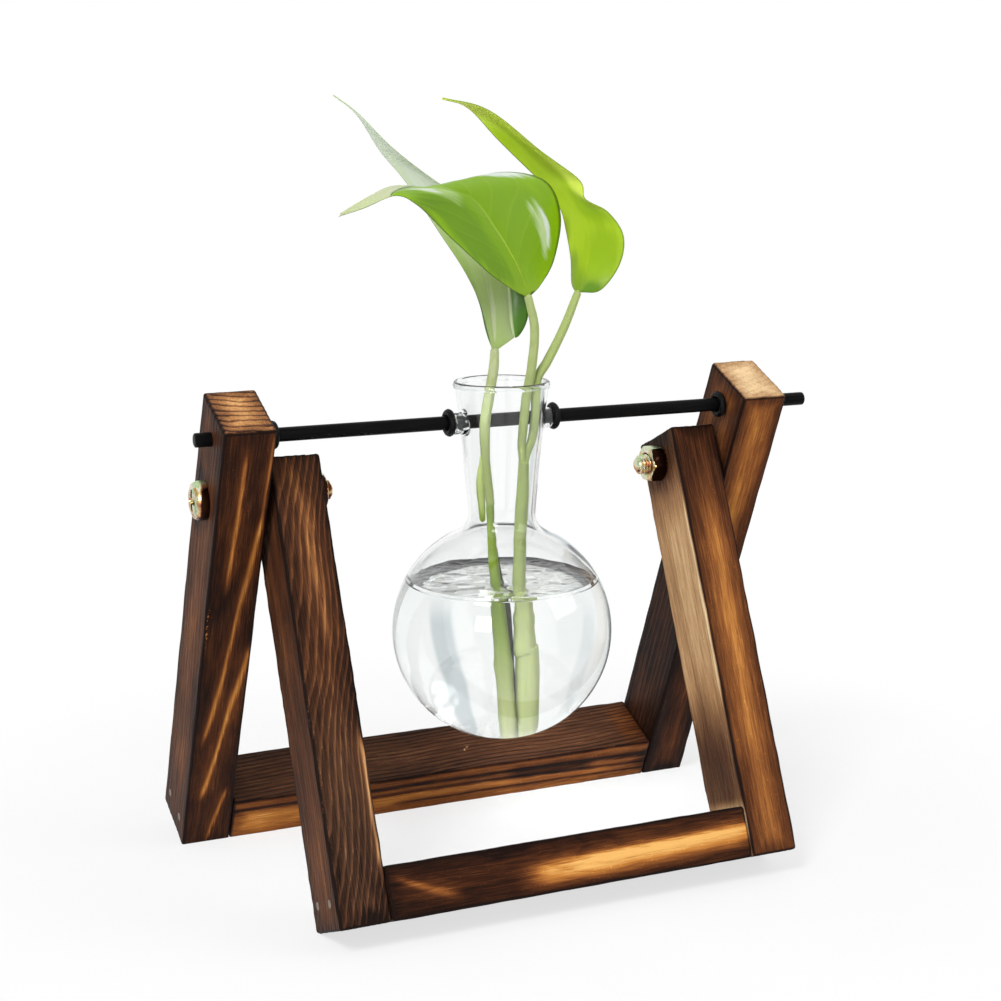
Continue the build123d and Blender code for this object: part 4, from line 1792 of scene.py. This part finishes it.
# The broad glossy leaf, seen from above, with painted highlights and sheen, and painted shade in its
# tip's crease and by its stalk
MIDDLE_UPPER = LeafSkin(
    "middle_leaf_upper",
    blade=shade(120, 162, 2), light=shade(134, 176, 6), vein=shade(170, 196, 64),
    base=shade(136, 170, 30), edge=LEAF_LINE, tip=shade(186, 196, 150),
    ribs=0.14, rib=0.014, rib_end=0.58, tip_from=(0.71, 0.75),
    patches=(
        Patch((-0.55, 0.36), (0.5, 0.3), shade(104, 146, 4), 0.4, 0.7),
        Patch((0.5, 0.28), (0.45, 0.2), shade(122, 164, 18), 0.2, 0.8),
        # Painted highlights near the right edge
        Patch((0.95, 0.56), (0.24, 0.1), PAINTED_GLEAM, 0.4, 0.6),
        Patch((0.7, 0.65), (0.35, 0.06), PAINTED_GLEAM, 2.0, 0.9),
        # Painted sheen with a painted highlight in it, on the left
        Patch((-0.14, 0.58), (0.22, 0.16), shade(160, 190, 110), 0.5, 0.9),
        Patch((-0.17, 0.61), (0.09, 0.1), shade(198, 210, 190), 0.5, 1.2),
        # Painted sheen round a small painted highlight, on the right
        Patch((0.76, 0.29), (0.13, 0.1), shade(186, 208, 150), -0.5, 1.8),
        Patch((0.8, 0.3), (0.05, 0.07), PAINTED_GLEAM, -0.5, 1.8),
        # Painted shade: a dark line in the crease where the tip folds over
        Patch((0.0, 0.73), (1.4, 0.016), shade(70, 100, 24), fray=0.2),
        # Painted shade on the lobe right of the stalk
        Patch((0.85, 0.02), (0.5, 0.05), shade(52, 80, 10)),
    ),
)
MIDDLE_UNDER = LeafSkin(
    "middle_leaf_under",
    blade=shade(146, 172, 92), light=shade(162, 186, 108), vein=shade(180, 198, 128),
    base=shade(156, 180, 92), edge=LEAF_LINE, tip=shade(176, 196, 130),
    gloss=0.45, ribs=0.5,
)
MIDDLE_BLADE = (
    LEAF_FOOT,
    ((-0.08, -0.03, 0.03), (-0.02, -0.01, 0.05), (0.07, 0.03, 0.04)),
    ((-0.22, -0.1, 0.11), (-0.08, -0.03, 0.16), (0.17, 0.12, 0.13)),
    ((-0.37, -0.17, 0.22), (-0.17, -0.06, 0.28), (0.22, 0.15, 0.3)),
    ((-0.51, -0.22, 0.34), (-0.28, -0.1, 0.39), (0.14, 0.14, 0.44)),
    ((-0.6, -0.27, 0.39), (-0.43, -0.16, 0.43), (-0.11, 0.07, 0.48)),
    ((-0.65, -0.27, 0.41), (-0.56, -0.19, 0.43), (-0.36, -0.01, 0.43)),
    ((-0.7, -0.28, 0.4), (-0.67, -0.23, 0.42), (-0.59, -0.1, 0.44)),
    ((-0.78, -0.29, 0.37), (-0.77, -0.26, 0.39), (-0.74, -0.23, 0.41)),
    ((-0.89, -0.31, 0.34), (-0.88, -0.31, 0.35), (-0.88, -0.3, 0.35)),
)
# The yellow-green leaf, seen from below, with painted light along its upper edge
RIGHT_UNDER = LeafSkin(
    "right_leaf_under",
    blade=shade(158, 188, 26), light=shade(170, 200, 40), vein=shade(172, 198, 60),
    base=shade(116, 150, 26), edge=shade(96, 128, 14), tip=shade(206, 222, 92),
    gloss=0.42, ribs=0.05, rib=0.01, rib_end=0.3,
    patches=(
        Patch((-0.85, 0.12), (0.5, 0.16), shade(126, 156, 40)),
        Patch((0.75, 0.07), (0.5, 0.08), shade(92, 136, 8)),
        Patch((0.3, 0.45), (0.7, 0.16), shade(144, 178, 16), fray=0.8),
        Patch((0.5, 0.24), (0.8, 0.14), shade(140, 174, 12), fray=0.6),
        # Painted light: pale along the upper edge, which faces down and away from the lamps
        Patch((0.9, 0.76), (1.0, 0.36), shade(212, 232, 88), fray=0.3),
    ),
)
RIGHT_UPPER = LeafSkin(
    "right_leaf_upper",
    blade=shade(112, 156, 12), light=shade(128, 170, 24), vein=shade(164, 192, 70),
    base=shade(104, 142, 20), edge=LEAF_LINE, tip=shade(156, 186, 40),
)
RIGHT_BLADE = (
    LEAF_FOOT,
    ((0.0, 0.06, 0.04), (0.03, 0.01, 0.06), (0.09, -0.04, 0.01)),
    ((0.02, 0.11, 0.14), (0.08, 0.04, 0.16), (0.16, -0.08, 0.12)),
    ((0.02, 0.16, 0.26), (0.09, 0.08, 0.28), (0.18, -0.07, 0.24)),
    ((0.01, 0.19, 0.34), (0.07, 0.12, 0.35), (0.13, -0.02, 0.34)),
    ((-0.03, 0.21, 0.42), (0.04, 0.16, 0.42), (0.06, 0.05, 0.39)),
    ((-0.1, 0.23, 0.49), (-0.01, 0.2, 0.5), (0.05, 0.09, 0.47)),
    ((-0.26, 0.25, 0.64), (-0.17, 0.24, 0.64), (-0.1, 0.15, 0.59)),
    ((-0.38, 0.29, 0.77), (-0.34, 0.26, 0.77), (-0.31, 0.22, 0.76)),
    ((-0.502, 0.28, 0.808), (-0.5, 0.28, 0.81), (-0.498, 0.28, 0.812)),
)


@dataclass
class Cuttings:
    """The two rooted cuttings: their stems, leaf stalks, sheath, root and three leaves.

    Attributes:
        leaf_lengths: Lengths of the left, the middle and the right leaf.
    """

    leaf_lengths: tuple[float, float, float] = (86.0, 72.0, 68.0)

    def __post_init__(self) -> None:
        """Sets up the stalks, which the water needs to know too."""
        olive, moss, bark = shade(150, 166, 80), shade(98, 118, 20), shade(20, 15, 10)
        dim, open_foot = shade(126, 138, 78), (False, True)
        stem = Stalk(
            "left_stem", StemSkin(shade(168, 174, 126), moss, shade(104, 126, 44), (44, 76), 0.1),
            "stem_dark", knots=((0.1, 0.5, 28.0), (0.32, 0.2, 1.6), (0.93, 0.2, 2.5)),
            domes=(True, False), run_on=(0.0, 1.6),
        )
        petiole = Stalk(
            "left_petiole", StemSkin(shade(120, 132, 70), shade(180, 190, 142), olive, (118, 150)),
            knots=((0.1, 0.25, 9.0),), domes=open_foot, run_on=(1.6, 0.8),
        )
        sheath = Stalk(
            "left_sheath", StemSkin(moss, shade(148, 160, 96), olive, (103, 112), 0.3),
            "stem_brown", knots=((0.6, 0.35, 8.0),), flatten=0.3, grows_into=petiole,
        )
        root = Stalk(
            "left_root", StemSkin(bark, bark, shade(74, 62, 40), (40, 95)),
            "root_black", knots=((0.6, 0.7, 20.0), (0.25, 0.3, 3.0)),
            domes=open_foot, run_on=(17.0, 0.0), grows_into=stem,
        )
        right = Stalk(
            "right_stem", StemSkin(shade(160, 168, 118), dim, olive, (62, 96)),
            knots=((0.2, 0.32, 22.0), (0.405, 0.2, 0.9), (1.0, -0.45, 8.0)),
        )
        tops = [
            Stalk(
                node, StemSkin(dim, high, shade(172, 182, 112), (128, 148)),
                domes=open_foot, run_on=(11.0, 0.8), grows_from=right,
            )
            for node, high in (
                ("middle_petiole", shade(168, 182, 118)), ("right_petiole", shade(164, 180, 110)),
            )
        ]
        self.stalks = {stalk.node: stalk for stalk in (stem, petiole, sheath, root, right, *tops)}

    def at_level(self, height: float) -> list[tuple[float, float, float]]:
        """Place and radius of each stem that goes through the water's surface."""
        return [self.stalks[node].at(height) for node in ("left_stem", "right_stem", "left_root")]

    def leaves(self) -> list[Leaf]:
        """The three leaves."""
        first, second, third = self.leaf_lengths
        left, middle, right = [self.stalks[f"{side}_petiole"] for side in ("left", "middle", "right")]
        fold = Fold(0.1, 0.37, 4.8, 0.7, LEFT_UPPER)
        return [
            Leaf(
                "left_leaf", left, "leaf_pale", LEFT_UNDER, LEFT_UPPER, first, LEFT_BLADE,
                folds=(fold,), crest=0.1,
            ),
            Leaf("middle_leaf", middle, "leaf_green", MIDDLE_UPPER, MIDDLE_UNDER, second, MIDDLE_BLADE),
            Leaf(
                "right_leaf", right, "leaf_yellow", RIGHT_UNDER, RIGHT_UPPER, third, RIGHT_BLADE,
                crest=0.05, vein=0.1,
            ),
        ]

    def build(self) -> None:
        """Makes every piece of both cuttings."""
        for piece in (*self.stalks.values(), *self.leaves()):
            piece.build()


# The left outer post, charred, with long bare scratches in front and a painted shadow by the screw head
# on its left
LEFT_OUTER = WoodFinish(
    Timber((4.0, 34.0), (3.0, 3.0), 1.5, 1.3, 2.5, 1.0),
    (
        Tone(Side.FRONT, 0.76, 0.05), Tone(Side.LEFT, 0.7, 0.0, 0.15, 0.15), Tone(Side.RIGHT, 0.72),
        Tone(Side.BACK, 0.66, 0.15), Tone(Side.TOP, 0.18, 0.34, 0.3, 0.35), Tone(Side.UNDER, 0.7),
    ),
    (
        Streak((-0.05, 0.96), (-0.35, 0.25), 1.1, -0.5, 0.4),
        Streak((0.93, 1.05), (0.7, 0.5), 0.9, -0.45),
        Streak((0.76, 0.66), (-0.62, -0.5), 1.2, -0.55, 0.8, fade=0.1),
        Streak((0.9, 0.06), (-0.45, -0.78), 1.2, -0.55, 0.5, fade=0.1),
        Streak((0.7, -0.68), (-0.05, -1.02), 1.0, -0.5),
        Streak((-0.9, 0.24), (-0.9, 0.02), 0.6, -0.6, 0.0, 0.9),
        # Painted shadow: a dark crescent on the left side beside the screw head
        Streak((0.45, 0.76), (0.45, 0.4), 2.4, 0.5, 0.8, fade=0.3, side=Side.LEFT),
    ),
)
# The left inner post, with pale brushed rings in front
LEFT_INNER = WoodFinish(
    Timber((-17.0, 7.0), (7.0, -5.0), 2.0, 2.2, 1.35, 1.6, 0.08),
    (
        Tone(Side.FRONT, 0.78, -0.2, 0.2, 0.12), Tone(Side.LEFT, 0.7, 0.03, 0.15),
        Tone(Side.RIGHT, 0.7), Tone(Side.BACK, 0.62, 0.2), Tone(Side.TOP, 0.6, 0.1),
        Tone(Side.UNDER, 0.8),
    ),
    (
        Streak((0.0, 0.2), (0.0, -1.4), 13.0, 0.06, pale=0.45, fade=0.5),
        Streak((-0.97, 0.1), (-0.97, -0.95), 0.7, -0.4, 0.0, 0.7, 0.6),
        Streak((0.9, -0.15), (0.9, -0.85), 1.3, -0.6, 0.2),
        Streak((0.2, -0.9), (0.6, -1.1), 5.0, 0.3, fade=0.4),
        Streak((-0.4, 1.05), (0.2, 0.1), 2.2, -0.22, 1.2),
    ),
)
# The right outer post, charred from its foot up
RIGHT_OUTER = WoodFinish(
    Timber((-18.0, 30.0), (6.0, 4.0), 2.0, 1.2, 2.2),
    (
        Tone(Side.FRONT, 0.42, 0.03, 0.0, 0.3), Tone(Side.LEFT, 0.54, 0.04, 0.1, 0.25),
        Tone(Side.RIGHT, 0.6), Tone(Side.BACK, 0.6, 0.15), Tone(Side.TOP, 0.0, 0.06, 0.75, 0.3),
        Tone(Side.UNDER, 0.7),
    ),
    (
        Streak((0.0, 0.35), (0.0, -1.6), 16.0, 0.36, fade=0.25),
        Streak((0.0, 0.5), (0.0, -1.6), 16.0, 0.4, fade=0.25, side=Side.LEFT),
        Streak((-0.2, 1.0), (-0.1, 0.3), 3.0, -0.16),
        Streak((0.2, 0.0), (0.2, -1.0), 2.0, -0.14),
    ),
)
# The right inner post, brushed grey on its left side
RIGHT_INNER = WoodFinish(
    Timber((-22.0, -26.0), (5.0, -4.0), 2.0, 1.2, 2.0),
    (
        Tone(Side.LEFT, 0.22, 0.02, 0.75), Tone(Side.FRONT, 0.42, 0.02, 0.05, 0.26),
        Tone(Side.RIGHT, 0.6), Tone(Side.BACK, 0.6, 0.15), Tone(Side.TOP, 0.62), Tone(Side.UNDER, 0.7),
    ),
    (
        Streak((0.0, 1.4), (0.0, 0.5), 20.0, 0.7, pale=-0.4, fade=0.5, side=Side.LEFT),
        Streak((0.6, 0.8), (0.3, -0.4), 4.0, 0.12, side=Side.LEFT),
        Streak((0.0, -0.05), (0.0, -1.15), 20.0, 0.55, pale=-0.3, fade=0.5, side=Side.LEFT),
        Streak((-0.92, 0.75), (-0.92, -0.35), 1.0, -0.3, pale=0.3, side=Side.LEFT),
        Streak((0.0, -0.72), (0.0, -0.96), 18.0, -0.8, pale=0.8, fade=0.4, side=Side.LEFT),
        Streak((0.0, 1.4), (0.0, 0.4), 12.0, 0.3, fade=0.5),
        Streak((0.1, 0.6), (0.0, -0.6), 3.0, -0.12),
    ),
    blotch=0.3,
)
# The rear crossbar, bare in front between dark lines
REAR_RAIL = WoodFinish(
    Timber((28.0, 3.0), (2.0, 3.0), 0.6, 2.4, 1.6, 1.2, 0.1),
    (
        Tone(Side.TOP, 0.66, 0.24, 0.3, 0.1), Tone(Side.FRONT, 0.26, 0.0, 0.0, 0.25),
        Tone(Side.BACK, 0.6, 0.2), Tone(Side.UNDER, 0.6), Tone(Side.LEFT, 0.6), Tone(Side.RIGHT, 0.6),
    ),
    (
        Streak((0.5, -1.1), (0.3, 1.1), 1.3, 0.6, 0.6, fade=0.05),
        Streak((0.05, -0.7), (-0.1, 1.1), 1.0, 0.5, 0.9, fade=0.1),
        Streak((-0.45, -0.3), (-0.5, 1.1), 0.9, 0.45, 0.5, fade=0.1),
        Streak((0.3, 0.25), (0.2, 0.75), 3.0, 0.3),
        Streak((0.0, 0.7), (0.0, 1.4), 9.0, 0.2, fade=0.5),
        Streak((0.0, -1.0), (0.0, -0.75), 9.0, -0.1, fade=0.5),
        Streak((-0.2, 0.1), (0.0, 0.14), 0.4, -0.5, 0.0, 0.3, 0.4, side=Side.TOP),
        Streak((0.0, 0.86), (0.0, 1.1), 14.0, -0.12, pale=-0.4, side=Side.TOP),
    ),
    blotch=0.22,
)
# The front crossbar, black but for one bare flame
FRONT_RAIL = WoodFinish(
    Timber((-24.0, 6.0), (5.0, 4.0), 2.0, 1.6, 2.2, 2.0),
    (
        Tone(Side.FRONT, 0.84, 0.05, 0.0, 0.12), Tone(Side.TOP, 0.8, 0.05, 0.1),
        Tone(Side.BACK, 0.62, 0.15), Tone(Side.UNDER, 0.8), Tone(Side.LEFT, 0.6), Tone(Side.RIGHT, 0.6),
    ),
    (
        Streak((-0.3, -0.36), (0.2, 1.5), 5.0, -0.75, -0.8, fade=0.12),
        Streak((-0.1, -0.1), (0.3, 1.3), 1.8, -0.3, -0.5),
        Streak((0.7, -1.0), (-0.5, -0.58), 1.8, -0.38, -1.5, fade=0.3),
    ),
    blotch=0.3,
)


@dataclass
class Stand:
    """The folding stand: six scorched bars, the brads in them and the two pivots.

    Attributes:
        plating: The fixings' finish.
        steel: The brads' finish.
    """

    plating: Plating
    steel: Stained

    def build(self) -> None:
        """Makes the bars, the pivots and the brads' finish."""
        for bar in (
            Bar("left_outer_post", "rear_frame", LEAN, 2, LEFT_OUTER, 3),
            Bar("right_outer_post", "rear_frame", LEAN, 2, RIGHT_OUTER, 5),
            Bar("rear_crossbar", "rear_frame", LEAN, 0, REAR_RAIL, 7),
            Bar("left_inner_post", "front_frame", -LEAN, 2, LEFT_INNER, 9),
            Bar("right_inner_post", "front_frame", -LEAN, 2, RIGHT_INNER, 11),
            Bar("front_crossbar", "front_frame", -LEAN, 0, FRONT_RAIL, 13),
        ):
            bar.build()
        plating = self.plating.dress()
        for side in ("left", "right"):
            Pivot(side, plating).build()
        steel = self.steel.dress()
        for node in ("rear_crossbar_brads", "front_crossbar_brads"):
            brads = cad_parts[node]
            brads.data.materials.clear()
            brads.data.materials.append(steel)


@dataclass(frozen=True)
class Lamp:
    """A soft panel of light.

    Attributes:
        name: Its name.
        place: Where it hangs.
        aim: What it shines at.
        size: Width of the square panel.
        watts: Its power.
        mirrored: Whether glass and metal show it.
        lights: Whether it lights dull surfaces.
    """

    name: str
    place: tuple[float, float, float]
    aim: tuple[float, float, float]
    size: float
    watts: float
    mirrored: bool = True
    lights: bool = True

    def hang(self) -> None:
        """Makes the lamp."""
        light = bpy.data.lights.new(self.name, "AREA")
        light.shape = "SQUARE"
        light.size = self.size * MM
        light.energy = self.watts
        lamp = show(self.name, light)
        lamp.location = Vector(self.place) * MM
        towards = (Vector(self.aim) - Vector(self.place)).normalized()
        lamp.rotation_euler = towards.to_track_quat("-Z", "Y").to_euler()
        lamp.visible_glossy = self.mirrored
        lamp.visible_diffuse = lamp.visible_transmission = self.lights


@dataclass
class Studio:
    """The pale floor, the soft light and the camera.

    Attributes:
        place: Where the camera stands.
        yaw: How far it looks to the left of +Y, in degrees.
        pitch: How far it looks down.
        roll: How far it is turned about its view.
        focal: Its focal length in pixels.
        pixels: Width of the image.
        sensor: Width of the camera's sensor.
        ambient: Strength of the even light from all round.
        floor_size: Width of the floor.
        fade: Distances from the vase between which the floor turns into backdrop.
        glow: How far it is backdrop already before the first of them.
        strips_from: Distances between which the grey strips set in on the floor.
        right: The direction to the camera's right.
        frame_grey: The grey that shows through the glass as strips.
    """

    place: tuple[float, float, float] = (-229.27, -506.22, 216.27)
    yaw: float = -24.144
    pitch: float = 11.114
    roll: float = -0.104
    focal: float = 1907.0
    pixels: float = 1001.0
    sensor: float = 36.0
    ambient: float = 0.5
    floor_size: float = 6000.0
    fade: tuple[float, float] = (110.0, 240.0)
    glow: float = 0.7
    strips_from: tuple[float, float] = (150.0, 250.0)
    right: tuple[float, float] = (0.912, -0.409)
    frame_grey: Colour = (0.66, 0.7, 0.72, 1.0)

    @staticmethod
    def strips(side: Signal) -> Signal:
        """How grey a direction is through glass, for the frame of a window behind the vase.

        Args:
            side: The sine of its angle to the right of the view.

        Returns:
            0 where it is white, 1 in the darkest strips.
        """
        near = smooth(side, 0.15, 0.18) * smooth(side, 0.31, 0.27)
        far = smooth(side, -0.36, -0.4) * smooth(side, -0.54, -0.48) * 0.4
        return most(most(near, far), smooth(abs(side), 0.62, 0.95))

    def world(self) -> None:
        """Makes even light, with white where it is seen straight on or through the glass."""
        world = bpy.data.worlds.new("studio")
        world.use_nodes = True
        bpy.context.scene.world = world
        recipe = Recipe(world.node_tree)
        look = recipe.split(recipe.point("Generated"))
        strips = self.strips(look[0] * self.right[0] + look[1] * self.right[1])
        colour, seen = self.backdrop(recipe, strips)
        bright = recipe.node("ShaderNodeBackground", {}, {"Color": colour, "Strength": 1.0})
        even = recipe.node("ShaderNodeBackground", {}, {"Color": WHITE, "Strength": self.ambient})
        shown = recipe.node("ShaderNodeMixShader", {}, {0: seen, 1: even, 2: bright})
        recipe.node("ShaderNodeOutputWorld", {}, {"Surface": shown})

    def backdrop(self, recipe: Recipe, strips: Signal) -> tuple[Signal, Signal]:
        """The white behind the vase, with grey strips where the view isn't straight.

        Args:
            recipe: The recipe that shows it.
            strips: How grey it is there.

        Returns:
            Its colour, and 1 for the rays that see it and 0 for those that are lit by it.
        """
        straight, mirrored, bent = [recipe.ray(kind) for kind in ("Camera", "Glossy", "Transmission")]
        colour = recipe.mix(strips * (1 - straight), WHITE, self.frame_grey)
        return colour, most(most(straight, mirrored), bent)

    def floor(self) -> None:
        """Lays the pale floor, which fades into the backdrop away from the vase."""
        recipe, material = Recipe.material("pale_floor")
        x, y, _ = recipe.place()
        grain = recipe.noise(recipe.join(x, y, 0), 0.02, 2.0, 31.0)
        tone = recipe.ramp(grain, (0.3, (0.90, 0.90, 0.90, 1)), (0.7, (0.94, 0.94, 0.94, 1)))
        paper = recipe.principled(Base_Color=tone, Roughness=0.8, Specular_IOR_Level=0.1)
        away = (x * x + y * y) ** 0.5
        strips = self.strips((x * self.right[0] + y * self.right[1]) / away)
        colour, seen = self.backdrop(recipe, strips * smooth(away, *self.strips_from))
        share = (smooth(away, *self.fade) * (1 - self.glow) + self.glow) * seen
        glow = recipe.node("ShaderNodeEmission", {}, {"Color": colour, "Strength": 1.0})
        recipe.finish(recipe.node("ShaderNodeMixShader", {}, {0: share, 1: paper, 2: glow}))
        half = self.floor_size / 2
        sheet = [(-half, -half, 0), (half, -half, 0), (half, half, 0), (-half, half, 0)]
        mesh = new_mesh("floor", sheet, [(0, 1, 2, 3)])
        mesh.materials.append(material)
        show("floor", mesh)

    def lights(self) -> None:
        """Hangs the key light, a weaker one at the right and the window that glass shows."""
        aim = (0.0, 0.0, 80.0)
        Lamp("key", (-620.0, -520.0, 900.0), aim, size=320.0, watts=8.0, mirrored=False).hang()
        Lamp("window", (-602.0, -622.0, 348.0), aim, size=240.0, watts=2.5, lights=False).hang()
        Lamp("fill", (700.0, -500.0, 600.0), aim, size=600.0, watts=2.5, mirrored=False).hang()

    def camera(self) -> None:
        """Stands the camera where the picture was taken from."""
        camera = bpy.data.cameras.new("camera")
        camera.sensor_width = self.sensor
        camera.lens = self.focal / self.pixels * self.sensor
        camera.clip_start, camera.clip_end = 0.01, 100.0
        holder = show("camera", camera)
        tilt = Matrix.Rotation(math.radians(90 - self.pitch), 4, "X")
        spin = Matrix.Rotation(math.radians(self.yaw), 4, "Z")
        lean = Matrix.Rotation(math.radians(self.roll), 4, "Z")
        holder.matrix_world = Matrix.Translation(Vector(self.place) * MM) @ spin @ tilt @ lean
        bpy.context.scene.camera = holder

    def build(self) -> None:
        """Sets the stage."""
        bpy.context.scene.view_settings.view_transform = "Standard"
        self.world()
        self.floor()
        self.lights()
        self.camera()


def main() -> None:
    """Builds the stand, the flask on its rod, the cuttings and the studio."""
    logging.basicConfig(level=logging.INFO, format="%(message)s")
    Stand(Plating(), BRAD_STEEL).build()
    Hanger(Enamel().dress(), RUBBER.dress()).build()
    cuttings = Cuttings()
    flask = Flask()
    flask.glass()
    flask.water(cuttings.at_level(flask.base + flask.level))
    cuttings.build()
    Studio().build()


if __name__ == "__main__":
    main()
